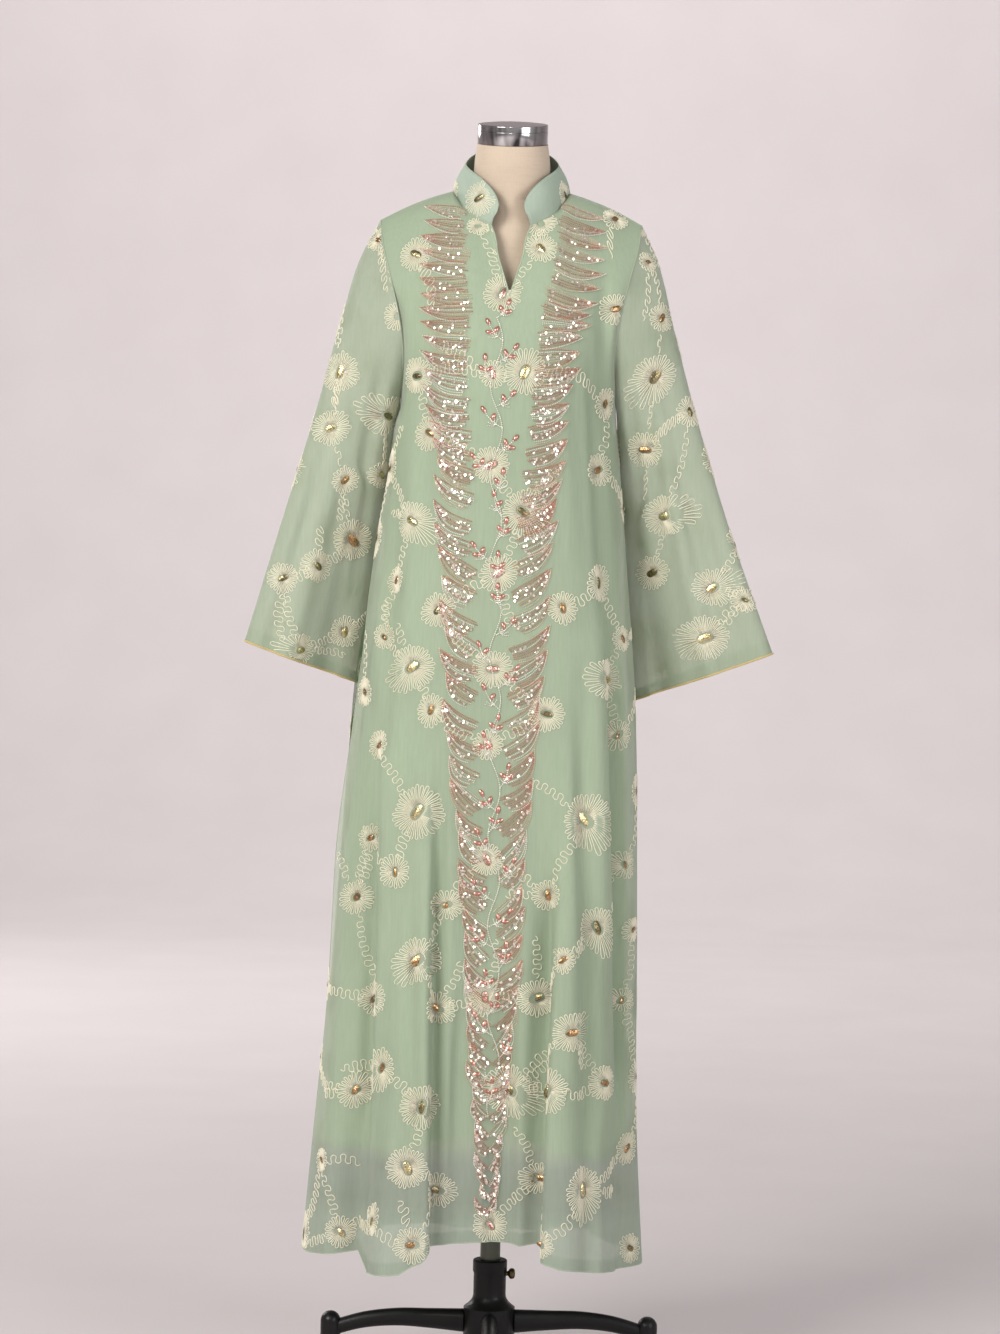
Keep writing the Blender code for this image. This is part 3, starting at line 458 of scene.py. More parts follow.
# How far the front's hem hangs below its plain line, by column of the photograph, in its rows, and
# the rows over which that grows.
HEM_STEPS = [
    (302, 0), (340, -5), (359, -8), (364, 11), (398, 12), (420, 3), (428, -7), (450, -7), (485, -3),
    (518, -6), (534, -13), (540, -3), (564, 2), (600, 0), (642, 0),
]
HEM_STEP_ROWS = (1150.0, 1245.0)

# Creases that end below this row run on to the hem.
FRONT_LAST_ROW = 1200

# Soft creases of the back by angle in degrees: upper height, lower height, angle above, angle below,
# how far out in mm, width of each flank in degrees.
BACK_CREASES = [
    (1.15, 0.15, 104.0, 106.0, 8.0, 4.0, 5.0),
    (1.05, 0.15, 127.0, 129.0, -11.0, 5.0, 4.0),
    (1.38, 0.15, 149.0, 156.0, -11.0, 5.0, 6.0),
    (0.90, 0.15, 164.0, 165.0, 8.0, 4.0, 5.0),
    (1.40, 0.30, 185.0, 189.0, 8.0, 5.0, 4.0),
    (1.10, 0.15, 198.0, 196.0, -11.0, 6.0, 5.0),
    (1.32, 0.15, 222.0, 226.0, 9.0, 5.0, 5.0),
    (0.80, 0.15, 251.0, 252.0, -8.0, 4.0, 5.0),
    (1.56, 0.98, 158.0, 168.0, -5.0, 6.0, 6.0),
    (1.56, 1.02, 205.0, 196.0, -5.0, 6.0, 6.0),
    (1.48, 0.80, 128.0, 134.0, -6.0, 5.0, 5.0),
    (1.50, 0.85, 232.0, 227.0, -6.0, 5.0, 5.0),
    (0.95, 0.15, 174.0, 177.0, -7.0, 4.0, 4.0),
]

# How near a sleeve's inner edge hangs to the body's side seam, and how far it may be drawn in for that.
SLEEVE_CLEAR = 0.0015
SLEEVE_DRAWN_MOST = 0.018

# Columns and rows of a sleeve, and of half the collar.
SLEEVE_TURNS = 96
SLEEVE_FINE_ROWS = 76
COLLAR_HALF = 48
COLLAR_FINE_ROWS = 17

# Soft creases of the sleeves by wall: share where each begins and ends, place across at both ends
# (0 inner edge, 1 outer edge), how far out in mm, half width as a share.
SLEEVE_CREASES = {
    "right": {
        "front": [
            (0.3, 1.05, 0.2, 0.22, -4.8, 0.07),
            (0.45, 1.05, 0.48, 0.5, -4.8, 0.06),
            (0.15, 0.8, 0.78, 0.8, -3.2, 0.08),
            (0.55, 1.05, 0.86, 0.88, 3.2, 0.06),
            (0.05, 0.45, 0.34, 0.3, -6.4, 0.09),
        ],
        "back": [
            (0.2, 1.05, 0.28, 0.26, -7.5, 0.07),
            (0.25, 1.05, 0.7, 0.72, -7.5, 0.07),
        ],
    },
    "left": {
        "front": [
            (0.14, 1.05, 0.4, 0.42, -6.5, 0.1),
            (0.3, 1.05, 0.12, 0.15, -4.0, 0.09),
            (0.4, 1.05, 0.7, 0.68, -4.0, 0.06),
            (0.05, 0.5, 0.26, 0.24, -6.4, 0.08),
            (0.1, 0.75, 0.62, 0.58, 3.2, 0.08),
            (0.6, 1.05, 0.88, 0.86, -3.2, 0.05),
        ],
        "back": [
            (0.2, 1.05, 0.3, 0.32, -7.5, 0.07),
            (0.25, 1.05, 0.66, 0.7, -7.5, 0.07),
        ],
    },
}


def refined(values, times):
    values = np.asarray(values, float)
    steps = np.arange(0, len(values) - 1 + 1e-9, 1.0 / times)
    return np.interp(steps, np.arange(len(values)), values)


def grid_normals(points, closed, flip):
    """Outward normals of a grid's points."""
    if closed:
        points = np.concatenate((points[:, -1:], points, points[:, :1]), axis=1)
    across = np.gradient(points, axis=1)
    down = np.gradient(points, axis=0)
    normals = np.cross(down, across) * flip
    normals /= np.maximum(1e-12, np.linalg.norm(normals, axis=2, keepdims=True))
    return normals[:, 1:-1] if closed else normals


def flank_profile(off, left, right):
    """Rounded rise of height 1 where the offset is 0."""
    scaled = np.where(off < 0, off / left, off / right)
    return np.where(np.abs(scaled) < 1.6, np.cos(np.clip(scaled / 3.2 * math.pi, -1.5708, 1.5708)) ** 2, 0.0)


def creases(table, down, across, fade):
    """How far a table's creases stand out in metres; fade takes a crease's share and its lower end."""
    total = 0.0
    for top, end, place, place_end, out_mm, *flanks in table:
        share = np.clip((down - top) / (end - top), 0.0, 1.0)
        off = across - (place + (place_end - place) * share)
        total = total + out_mm * 0.001 * flank_profile(off, flanks[0], flanks[-1]) * fade(share, end)
    return total


def panel_points(part, side, level_rows, angles, fold_share=1.0, hem_rise=0.0):
    rows = [[skin_point(a, v, part, side or (1.0 if a <= 180.0 else -1.0), fold_share, hem_rise)
             for a in angles] for v in level_rows]
    return np.array(rows)


def levels_for(skirt_rows, times):
    levels = [-1.0 + row / BODICE_ROWS for row in range(BODICE_ROWS)]
    levels += [row / skirt_rows for row in range(skirt_rows + 1)]
    levels[SLIT_START_ROW] = -SLIT[0][0]
    return refined(levels, times)


def front_creases(points, normals):
    """How the creases and the hem's steps move the points of a front."""
    columns, rows = photo_place(points)
    facing = normals[..., 1] < 0.15
    top, foot = HEM_STEP_ROWS
    out = creases(FRONT_CREASES, rows, columns, lambda share, end: smooth(share / 0.33) * (
        1.0 if end >= FRONT_LAST_ROW else smooth((1.0 - share) / 0.08)))
    moved = normals * (out * facing)[..., None]
    lower = np.interp(columns, *np.array(HEM_STEPS, float).T) * PIXEL_M
    moved[..., 2] -= lower * smooth((rows - top) / (foot - top)) * facing
    return moved


def back_creases(points, normals, angles):
    """How the creases move the points of a back."""
    out = creases(BACK_CREASES, points[..., 2], np.asarray(angles), lambda share, end: (
        np.clip(share / 0.33, 0.0, 1.0) * np.clip((1.02 - share) / 0.06, 0.0, 1.0)))
    return normals * out[..., None]


class Cloth:
    """A fine grid of one piece of cloth, with its flat pattern: s runs across and t runs down, in metres."""

    STEP = 0.0025

    def __init__(self, points, normals, zero, plain_normals=None):
        plain_normals = normals if plain_normals is None else plain_normals
        steps = np.linalg.norm(np.diff(points, axis=1), axis=2)
        across = np.concatenate((np.zeros((len(points), 1)), np.cumsum(steps, axis=1)), axis=1)
        middle = 0.5 * (across[:, zero[0]] + across[:, zero[1]])
        self.across = across - middle[:, None]
        self.gap = (self.across[:, zero[0]], self.across[:, zero[1]])
        drop = np.linalg.norm(np.diff(points[:, zero[1]], axis=0), axis=1)
        self.down = np.concatenate(([0.0], np.cumsum(drop)))
        self.low = float(self.across.min())
        count = int(math.ceil((self.across.max() - self.low) / self.STEP)) + 1
        places = self.low + self.STEP * np.arange(count)
        both = np.concatenate((points, normals, plain_normals), axis=2)
        self.even = np.array([[np.interp(places, self.across[row], both[row, :, axis]) for axis in range(9)]
                              for row in range(len(points))]).transpose(0, 2, 1)
        rows, columns = points.shape[:2]
        quads = grid_faces(rows, columns, None if zero[0] == zero[1] else zero[0])
        self.tree = BVHTree.FromPolygons(points.reshape(-1, 3).tolist(), quads.tolist())
        self.columns, self.rows = photo_place(points)
        self.facing = np.einsum("rcx,rcx->rc", normals, np.array(CAMERA_PLACE) - points) > 0

    def surface(self, places, plain=False):
        """Points and normals for places given as s, t; plain normals leave out the creases."""
        row = np.interp(places[:, 1], self.down, np.arange(len(self.down)))
        column = np.clip((places[:, 0] - self.low) / self.STEP, 0, self.even.shape[1] - 1.001)
        r0 = np.minimum(row.astype(int), len(self.down) - 2)
        c0 = column.astype(int)
        fr = (row - r0)[:, None]
        fc = (column - c0)[:, None]
        value = (self.even[r0, c0] * (1 - fr) * (1 - fc) + self.even[r0, c0 + 1] * (1 - fr) * fc
                 + self.even[r0 + 1, c0] * fr * (1 - fc) + self.even[r0 + 1, c0 + 1] * fr * fc)
        normal = value[:, 6:] if plain else value[:, 3:6]
        return value[:, :3], unit(normal)

    def inside(self, places, margin=0.0015):
        """Which places lie on the cloth."""
        row = np.interp(places[:, 1], self.down, np.arange(len(self.down)))
        near = np.clip(np.round(row).astype(int), 0, len(self.down) - 1)
        low = self.across[near, 0] + margin
        high = self.across[near, -1] - margin
        fits = (places[:, 0] > low) & (places[:, 0] < high)
        wide = self.gap[1][near] - self.gap[0][near] > 1e-4
        in_gap = (places[:, 0] > self.gap[0][near] - margin) & (places[:, 0] < self.gap[1][near] + margin)
        fits &= ~(wide & in_gap)
        return fits & (places[:, 1] > margin) & (places[:, 1] < self.down[-1] - margin)

    def place_of(self, column, row):
        """The s, t place that shows at a column and row of the photograph."""
        far = (self.columns - column) ** 2 + (self.rows - row) ** 2 + np.where(self.facing, 0.0, 400.0)
        at = np.unravel_index(np.argmin(far), far.shape)
        place = np.array((self.across[at], self.down[at[0]]))
        step = 0.001
        for _ in range(3):
            probes = place + step * np.array(((0, 0), (1, 0), (0, 1)))
            shown = np.stack(photo_place(self.surface(probes)[0]), axis=1)
            change = (shown[1:] - shown[0]).T / step
            if abs(np.linalg.det(change)) < 2e4:
                break
            move = np.linalg.solve(change, np.array((column, row)) - shown[0])
            place = place + np.clip(move, -0.006, 0.006)
        return place

    def frame_at(self, place):
        """Point, direction to the right as it's looked at, direction up, and normal at a place."""
        points, normals = self.surface(np.asarray(place)[None, :], plain=True)
        normal = normals[0]
        up = unit(np.array((0.0, 0.0, 1.0)) - normal[2] * normal)
        return points[0], np.cross(up, normal), up, normal

    def drop(self, points, normal):
        """Points moved along a normal until they lie on the cloth, their normals, and which of them do."""
        landed = np.zeros((len(points), 3))
        normals = np.zeros((len(points), 3))
        fits = np.zeros(len(points), bool)
        into = Vector(-normal)
        for index, point in enumerate(points + normal * 0.03):
            place, out, _, _ = self.tree.ray_cast(Vector(point), into, 0.06)
            if place is not None:
                landed[index] = place
                normals[index] = out if out.dot(into) < 0 else -out
                fits[index] = True
        return landed, normals, fits


def front_grid(skirt_rows, fold_share=1.0, hem_rise=0.0):
    """Points and normals of a whole front: the wearer's right half's columns, then the left's."""
    angles = refined(even_angles(FRONT_COLUMNS), FINE)
    levels = levels_for(skirt_rows, FINE)
    halves = []
    for side in (-1.0, 1.0):
        run = angles[angles <= 1e-9] if side < 0 else angles[angles >= -1e-9]
        halves.append(panel_points("front", side, levels, run, fold_share, hem_rise))
    points = np.concatenate(halves, axis=1)
    columns = halves[0].shape[1]
    normals = grid_normals(points, False, 1.0)
    open_rows = int(np.sum(points[:, columns, 0] - points[:, columns - 1, 0] > 1e-6))
    mean = normals[open_rows:, columns - 1] + normals[open_rows:, columns]
    mean[:, 0] = 0.0
    mean /= np.linalg.norm(mean, axis=1, keepdims=True)
    normals[open_rows:, columns - 1] = mean
    normals[open_rows:, columns] = mean
    return points, normals, columns, open_rows


def back_grid(skirt_rows, fold_share=1.0, hem_rise=0.0):
    angles = refined(even_angles(BACK_COLUMNS), FINE)
    points = panel_points("back", 0.0, levels_for(skirt_rows, FINE), angles, fold_share, hem_rise)
    return points, grid_normals(points, False, 1.0), angles


def drawn_in(points, turns, side, seam):
    """Sleeve points with the inner edge drawn in until it hangs against the body's side seam."""
    inner = points[:, len(turns) // 2]
    heights = seam[::-1, 2]
    body = np.interp(inner[:, 2], heights, np.abs(seam[::-1, 0]))
    below = inner[:, 2] < heights[-1]
    gap = np.clip(np.abs(inner[:, 0]) - body - SLEEVE_CLEAR, 0.0, SLEEVE_DRAWN_MOST) * below
    kernel = np.hanning(11)
    gap = np.convolve(np.pad(gap, 5, mode="edge"), kernel / kernel.sum(), mode="valid")
    moved = points.copy()
    moved[..., 0] -= side * gap[:, None] * smooth(-2.0 * np.cos(turns))
    return moved


def sleeve_grid(side_name, seam):
    """Points, normals and plain normals round a sleeve from its inner edge, whose column is at both ends."""
    side = 1.0 if side_name == "left" else -1.0
    turns = np.arange(SLEEVE_TURNS) * 2.0 * math.pi / SLEEVE_TURNS
    shares = np.linspace(0.0, 1.0, SLEEVE_FINE_ROWS)
    points = np.array([[sleeve_point(side_name, turn, share, side) for turn in turns] for share in shares])
    points = drawn_in(points, turns, side, seam)
    plain = grid_normals(points, True, -side)
    out = 0.0
    for wall, table in SLEEVE_CREASES[side_name].items():
        on_wall = (np.sin(turns) >= 0) == (wall == "front")
        out = out + on_wall * creases(table, shares[:, None], 0.5 + 0.5 * np.cos(turns), lambda share, end: (
            smooth(share / 0.35) * (1.0 - smooth((share - 0.95) / 0.05) * (end < 1.0))))
    points = points + plain * out[..., None]
    normals = grid_normals(points, True, -side)
    half = SLEEVE_TURNS // 2
    order = [*range(half, SLEEVE_TURNS), *range(half + 1)]
    return points[:, order], normals[:, order], plain[:, order]


def collar_grid():
    """Points and normals of the collar from its left front end round the back to its right."""
    run = np.linspace(0.0, 1.0, COLLAR_HALF + 1)
    ends = [(share, 1.0) for share in run] + [(share, -1.0) for share in run[-2::-1]]
    points = np.array([[collar_point(share, rise, side) for share, side in ends]
                       for rise in np.linspace(0.0, 1.0, COLLAR_FINE_ROWS)])
    return points, grid_normals(points, False, -1.0)


# Meshes.


def new_object(name, points, faces, mat):
    """A smooth mesh object from point and face arrays."""
    mesh = bpy.data.meshes.new(name)
    mesh.vertices.add(len(points))
    mesh.vertices.foreach_set("co", np.ascontiguousarray(points, np.float32).ravel())
    mesh.loops.add(faces.size)
    mesh.loops.foreach_set("vertex_index", faces.ravel().astype(np.int32))
    mesh.polygons.add(len(faces))
    mesh.polygons.foreach_set("loop_start", np.arange(0, faces.size, faces.shape[1], np.int32))
    mesh.update(calc_edges=True)
    mesh.validate()
    mesh.shade_smooth()
    mesh.materials.append(mat)
    obj = bpy.data.objects.new(name, mesh)
    bpy.context.scene.collection.objects.link(obj)
    return obj


def new_piece(name, points, faces, mat, body="figure", slot=None, node=None):
    """A piece that rides on a body and may stand for a CAD node, which it hides; the slot is not used."""
    obj = new_object(name, points, faces, mat)
    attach(obj, body)
    if node:
        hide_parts(node)
    return obj


def grid_faces(rows, columns, skip_column=None, flip=1.0):
    """Quads between the rows and columns of a grid of points."""
    row, column = np.meshgrid(np.arange(rows - 1), np.arange(columns - 1), indexing="ij")
    keep = column != skip_column
    first = row[keep] * columns + column[keep]
    faces = np.stack((first, first + columns, first + columns + 1, first + 1), axis=1)
    return faces if flip > 0 else faces[:, ::-1]


def tube_faces(rows, sides):
    """Quads between rings of points, each closed on itself."""
    first = np.arange(rows - 1)[:, None] * sides
    side = np.arange(sides)[None, :]
    after = (side + 1) % sides
    quads = np.stack((first + side, first + after, first + sides + after, first + sides + side), axis=2)
    return quads.reshape(-1, 4)


def grid_piece(name, points, mat, skip_column=None, merge=False, flip=1.0, **roles):
    faces = grid_faces(*points.shape[:2], skip_column, flip)
    obj = new_piece(name, points.reshape(-1, 3), faces, mat, **roles)
    if merge:
        weld(obj)
    return obj


def weld(obj, near=1e-6, fill=False):
    """Points that fall together made one, and open ends filled if asked."""
    shape = bmesh.new()
    shape.from_mesh(obj.data)
    bmesh.ops.remove_doubles(shape, verts=shape.verts, dist=near)
    if fill:
        bmesh.ops.holes_fill(shape, edges=[edge for edge in shape.edges if edge.is_boundary], sides=200)
    shape.to_mesh(obj.data)
    shape.free()


def unit(vectors):
    return vectors / np.maximum(1e-9, np.linalg.norm(vectors, axis=-1, keepdims=True))


def strands(lines, radius, sides=3):
    """Cords lying on the cloth: each line is points and normals. Returns points and faces of them all."""
    all_points = []
    all_faces = []
    start = 0
    turns = np.radians(np.arange(sides) * 360.0 / sides - (30.0 if sides == 3 else 0.0))
    for points, normals in lines:
        ahead = unit(np.gradient(points, axis=0))
        beside = unit(np.cross(ahead, normals))
        over = np.cross(beside, ahead)
        ring = [points + radius * (math.cos(turn) * beside + math.sin(turn) * over) for turn in turns]
        all_points.append(np.stack(ring, axis=1).reshape(-1, 3))
        all_faces.append(tube_faces(len(points), sides) + start)
        start += len(points) * sides
    return np.concatenate(all_points), np.concatenate(all_faces)


BEAD = np.array(((1, 0, 0), (-1, 0, 0), (0, 1, 0), (0, -1, 0), (0, 0, 1), (0, 0, -1)), float)
BEAD_FACES = np.array(((0, 2, 4), (2, 1, 4), (1, 3, 4), (3, 0, 4),
                       (2, 0, 5), (1, 2, 5), (3, 1, 5), (0, 3, 5)))
DISC_TURNS = np.arange(8) * math.pi / 4.0
DISC = np.concatenate((((0.0, 0.0, 0.25),),
                       np.stack((np.cos(DISC_TURNS), np.sin(DISC_TURNS), 0 * DISC_TURNS), axis=1)))
DISC_FACES = np.array([(0, 1 + k, 1 + (k + 1) % 8) for k in range(8)])


def scattered(points, normals, heads, sizes, shape, shape_faces):
    """Copies of a small shape at points: along its heading, across it and out of the cloth."""
    heads = unit(heads - normals * np.sum(heads * normals, axis=1, keepdims=True))
    basis = np.stack((heads, np.cross(normals, heads), normals), axis=1)
    local = shape[None, :, :] * np.broadcast_to(sizes, points.shape)[:, None, :]
    placed = np.einsum("nkx,nxy->nky", local, basis) + points[:, None, :]
    faces = shape_faces[None, :, :] + (np.arange(len(points)) * len(shape))[:, None, None]
    return placed.reshape(-1, 3), faces.reshape(-1, shape_faces.shape[1])


# Finishes.

ONES = (1.0, 1.0, 1.0)


class Finish:
    """The nodes of a material or of the world; each method that adds a node gives its output."""

    def __init__(self, owner, shader="Principled BSDF"):
        owner.use_nodes = True
        self.owner = owner
        self.tree = owner.node_tree
        self.shader = self.tree.nodes[shader]

    def feed(self, inputs, values):
        """Links or sets inputs, by their names or numbers."""
        for key, value in values.items():
            if isinstance(value, bpy.types.NodeSocket):
                self.tree.links.new(value, inputs[key])
            else:
                inputs[key].default_value = value

    def set(self, **values):
        """Inputs of the shader, with underscores for the spaces in their names; gives the material."""
        self.feed(self.shader.inputs, {key.replace("_", " "): value for key, value in values.items()})
        return self.owner

    def node(self, kind, values, output=0, **settings):
        made = self.tree.nodes.new("ShaderNode" + kind)
        for key, value in settings.items():
            setattr(made, key, value)
        self.feed(made.inputs, values)
        return made.outputs[output]

    def place(self, stretch=ONES):
        """Place on the object, with each axis stretched."""
        return self.node("Mapping", {"Vector": self.node("TexCoord", {}, "Object"), "Scale": stretch})

    def axis(self, name):
        return self.node("SeparateXYZ", {0: self.place()}, name)

    def noise(self, scale, detail, rough=0.5, stretch=ONES):
        return self.node("TexNoise", {"Vector": self.place(stretch), "Scale": scale, "Detail": detail,
                                      "Roughness": rough}, "Fac")

    def maths(self, way, *values):
        return self.node("Math", dict(enumerate(values)), operation=way)

    def ranged(self, value, low, high, to_low=0.0, to_high=1.0):
        """Runs from to_low to to_high as a value runs from low to high."""
        return self.node("MapRange", {"Value": value, "From Min": low, "From Max": high,
                                      "To Min": to_low, "To Max": to_high}, "Result")

    def mix(self, factor, one, other, way="MIX"):
        return self.node("Mix", {"Factor": factor, 6: one, 7: other}, 2, data_type="RGBA", blend_type=way)

    def tones(self, factor, low, high, dark, light):
        """Colour between two tones as a factor runs from low to high."""
        ramp = self.tree.nodes.new("ShaderNodeValToRGB")
        for stop, at, colour in zip(ramp.color_ramp.elements, (low, high), (dark, light)):
            stop.position = at
            stop.color = (*colour, 1.0)
        self.feed(ramp.inputs, {"Fac": factor})
        return ramp.outputs["Color"]

    def varied(self, factor, low, high, colour, dark, light):
        """A colour from darker to lighter as a factor runs from low to high."""
        return self.tones(factor, low, high, tone(colour, dark), tone(colour, light))

    def bumps(self, *heights):
        """Bumps on the shader, one over another: each is a height, its strength and its depth in metres."""
        last = {}
        for height, strength, depth in heights:
            values = {"Height": height, "Strength": strength, "Distance": depth, **last}
            last = {"Normal": self.node("Bump", values)}
        self.feed(self.shader.inputs, last)


def tone(colour, by):
    return tuple(min(1.0, max(0.0, part * by)) for part in colour)


def new_finish(name, colour, rough, metal=0.0, **sockets):
    """A new material, whose colour is linear."""
    made = Finish(bpy.data.materials.new(name))
    made.set(Base_Color=(*colour, 1.0), Roughness=rough, Metallic=metal, **sockets)
    return made


def cloth_material(name, colour, alpha, crinkle):
    """Crinkled chiffon: fine uneven ribs down the cloth over a close weave.

    Where it is sheer below the lining, where it hangs alone, its colour is painted greyer, a painted shade
    for the dim inside that shows through it; it is also denser near its hem, where its turned edge bunches.
    """
    made = new_finish(name, colour, 0.78, Sheen_Weight=0.25, Sheen_Roughness=0.5,
                      Sheen_Tint=(0.9, 1.0, 0.88, 1.0), Specular_IOR_Level=0.25, Alpha=alpha)
    broad = made.noise(2.0, 2.0, 0.5, (3.0, 3.0, 1.6))
    rib = made.noise(330.0, 3.0, 0.6, (1.0, 1.0, 0.07))
    slub = made.noise(900.0, 2.0, 0.7)
    wide_rib = made.noise(85.0, 3.0, 0.55, (1.0, 1.0, 0.05))
    shown = made.mix(1.0, made.varied(broad, 0.30, 0.72, colour, 0.95, 1.04),
                     made.tones(rib, 0.25, 0.75, (0.90, 0.91, 0.88), ONES), "MULTIPLY")
    if alpha < 1.0:
        height = made.axis("Z")
        # Painted shade: below the lining's hem the sheer chiffon's colour is multiplied greyer, standing in
        # for the dim inside seen through it.
        shown = made.mix(1.0, shown, made.tones(height, *SHEER_SHADE_FADE, SHEER_PAINTED_SHADE, ONES), "MULTIPLY")
        made.set(Alpha=made.ranged(height, *HEM_DENSE_FADE, HEM_DENSE, alpha))
    made.bumps((wide_rib, 0.35 * crinkle, 0.0015), (rib, 0.55 * crinkle, 0.0006), (slub, 0.30, 0.0002))
    return made.set(Base_Color=shown)


def thread_material(name, colour, twist):
    """Twisted cord: light and dark along its strands."""
    made = new_finish(name, colour, 0.72, Sheen_Weight=0.2, Specular_IOR_Level=0.3)
    strand = made.noise(twist, 1.0, 0.5, (1.0, 1.0, 1.6))
    made.bumps((strand, 0.5, 0.0003))
    return made.set(Base_Color=made.varied(strand, 0.30, 0.70, colour, 0.84, 1.05))


def glint_material(name, colour, rough, spread, metal):
    """Small bright metal: its tone changes from one bead to the next."""
    made = new_finish(name, colour, rough, metal, Specular_IOR_Level=0.6)
    change = made.noise(420.0, 1.0)
    return made.set(Base_Color=made.varied(change, 0.32, 0.68, colour, 1.0 - spread, 1.0 + spread))


def sequin_material(name, colour):
    """A patch of small overlapping sequins, each of its own tone and tilt."""
    made = new_finish(name, colour, 0.27, 1.0, Specular_IOR_Level=0.6)
    cells = made.node("TexVoronoi", {"Vector": made.place(), "Scale": 560.0}, "Color")
    made.bumps((cells.node.outputs["Distance"], 0.55, 0.0006))
    own = made.node("SeparateColor", {0: cells})
    return made.set(Base_Color=made.varied(own, 0.1, 0.9, colour, 0.55, 1.45))


def linen_material():
    """Natural linen drawn over a padded body: threads crossing, with slubs."""
    colour = (0.555, 0.448, 0.345)
    made = new_finish("form_linen", colour, 0.86, Sheen_Weight=0.12)
    threads = made.maths("ADD", made.noise(620.0, 2.0, 0.5, (1.0, 1.0, 0.04)),
                         made.noise(700.0, 2.0, 0.5, (0.06, 0.06, 1.0)))
    made.bumps((threads, 0.25, 0.0003))
    return made.set(Base_Color=made.varied(threads, 0.70, 1.30, colour, 0.95, 1.03))


def metal_material(name, colour, rough, metal, grain, depth, spread=0.12, stretch=ONES, **sockets):
    """Cast, turned or polished metal with its grain, faint marks and uneven gloss."""
    made = new_finish(name, colour, rough, metal, **sockets)
    fine = made.noise(grain, 3.0, 0.6, stretch)
    made.bumps((fine, 0.3, depth))
    made.set(Roughness=made.ranged(fine, 0.3, 0.7, rough * 0.8, min(1.0, rough * 1.25)))
    broad = made.noise(14.0, 3.0)
    return made.set(Base_Color=made.varied(broad, 0.3, 0.7, colour, 1.0 - spread, 1.0 + spread))


def chrome_with_painted_reflections():
    """Chrome with painted reflections: dark and bright upright streaks round its band, flat mauve towards its
    left and right sides.
    """
    made = new_finish("chrome_painted_reflections", (0.6, 0.6, 0.6), 0.13, 1.0)
    reflection_streak = made.noise(46.0, 2.0, 0.58, (1.0, 1.0, 0.10))
    # Painted reflections: dark and bright streaks in the base colour stand in for the room mirrored in the
    # chrome band, and give way to flat mauve at the band's left and right.
    painted_reflections = made.tones(reflection_streak, 0.42, 0.56, (0.060, 0.052, 0.052), (0.66, 0.65, 0.66))
    reflections_faded_aside = made.ranged(made.maths("ABSOLUTE", made.axis("X")), 0.022, 0.038, 0.0, 0.85)
    made.bumps((made.noise(900.0, 2.0), 0.15, 0.00002))
    return made.set(Base_Color=made.mix(reflections_faded_aside, painted_reflections, (0.34, 0.295, 0.30, 1.0)))


CORD_RADIUS = 0.00086
CORD_LIFT = 0.35 * CORD_RADIUS
PETAL_APART = 0.0069
ROW_APART = 0.0033
BEAD_STEP = 0.0026
BEAD_SIZE = (0.00132, 0.00104, 0.00098)
SEQUIN_SIZE = (0.0018, 0.0018, 0.0008)
SEQUIN_TALL = 0.0013
DROP_SIZE = (0.0060, 0.0032, 0.0022)
HEM_TURN = 0.0006
COLLAR_THICK = 0.0014
MINT = (0.402, 0.468, 0.348)
# Painted shade of the sheer chiffon below the lining, where the dim inside shows through, and the heights
# between which the chiffon turns from that greyer painted shade to its own colour, and from denser to sheer.
SHEER_PAINTED_SHADE = (0.82, 0.81, 0.88)
SHEER_SHADE_FADE = (0.335, 0.362)
HEM_DENSE = 0.90
HEM_DENSE_FADE = (0.250, 0.282)
CHIFFON = cloth_material("mint_chiffon", MINT, 0.72, 1.0)
EDGE_CHIFFON = cloth_material("mint_chiffon_edge", tone(MINT, 0.96), 1.0, 0.6)
COLLAR_CHIFFON = cloth_material("mint_chiffon_collar", (0.375, 0.450, 0.370), 1.0, 0.8)
LINING = cloth_material("green_lining", (0.430, 0.640, 0.380), 1.0, 0.25)
CORD = thread_material("cream_cord", (0.860, 0.810, 0.640), 1400.0)
BRAID = thread_material("gold_braid", (0.560, 0.440, 0.190), 900.0)
SEQUINS = {
    "gold": sequin_material("sequin_gold", (0.62, 0.52, 0.28)),
    "olive": sequin_material("sequin_olive", (0.25, 0.205, 0.11)),
    "copper": sequin_material("sequin_copper", (0.44, 0.27, 0.135)),
    "rose": sequin_material("sequin_rose", (0.70, 0.42, 0.34)),
}
BEADS = {
    "rose": glint_material("bead_rose", (0.68, 0.33, 0.25), 0.26, 0.25, 0.5),
    "silver": glint_material("bead_silver", (0.97, 0.92, 0.80), 0.20, 0.12, 0.35),
    "pale": glint_material("bead_pale", (0.92, 0.74, 0.58), 0.22, 0.18, 0.5),
    "sequin": glint_material("bead_sequin", (0.98, 0.84, 0.74), 0.20, 0.12, 0.85),
    "drop": glint_material("bead_drop", (0.56, 0.29, 0.23), 0.16, 0.25, 0.7),
}
LINEN = linen_material()
CHROME = chrome_with_painted_reflections()
BRUSHED = metal_material("brushed_chrome", (0.42, 0.36, 0.37), 0.58, 0.6, 900.0, 0.00003, 0.08,
                         (1.0, 0.15, 1.0))
STEEL = metal_material("pole_paint", (0.105, 0.110, 0.085), 0.34, 0.55, 500.0, 0.00005, 0.10, (3.0, 3.0, 0.1))
IRON = metal_material("black_cast_iron", (0.0050, 0.0048, 0.0047), 0.42, 0.0, 260.0, 0.0004, 0.25,
                      Coat_Weight=0.1, Coat_Roughness=0.2, Specular_IOR_Level=0.22)
BRONZE = metal_material("dark_brass", (0.14, 0.10, 0.05), 0.34, 0.9, 900.0, 0.0001)

# Hard pieces.

DOME_SIDES = 10


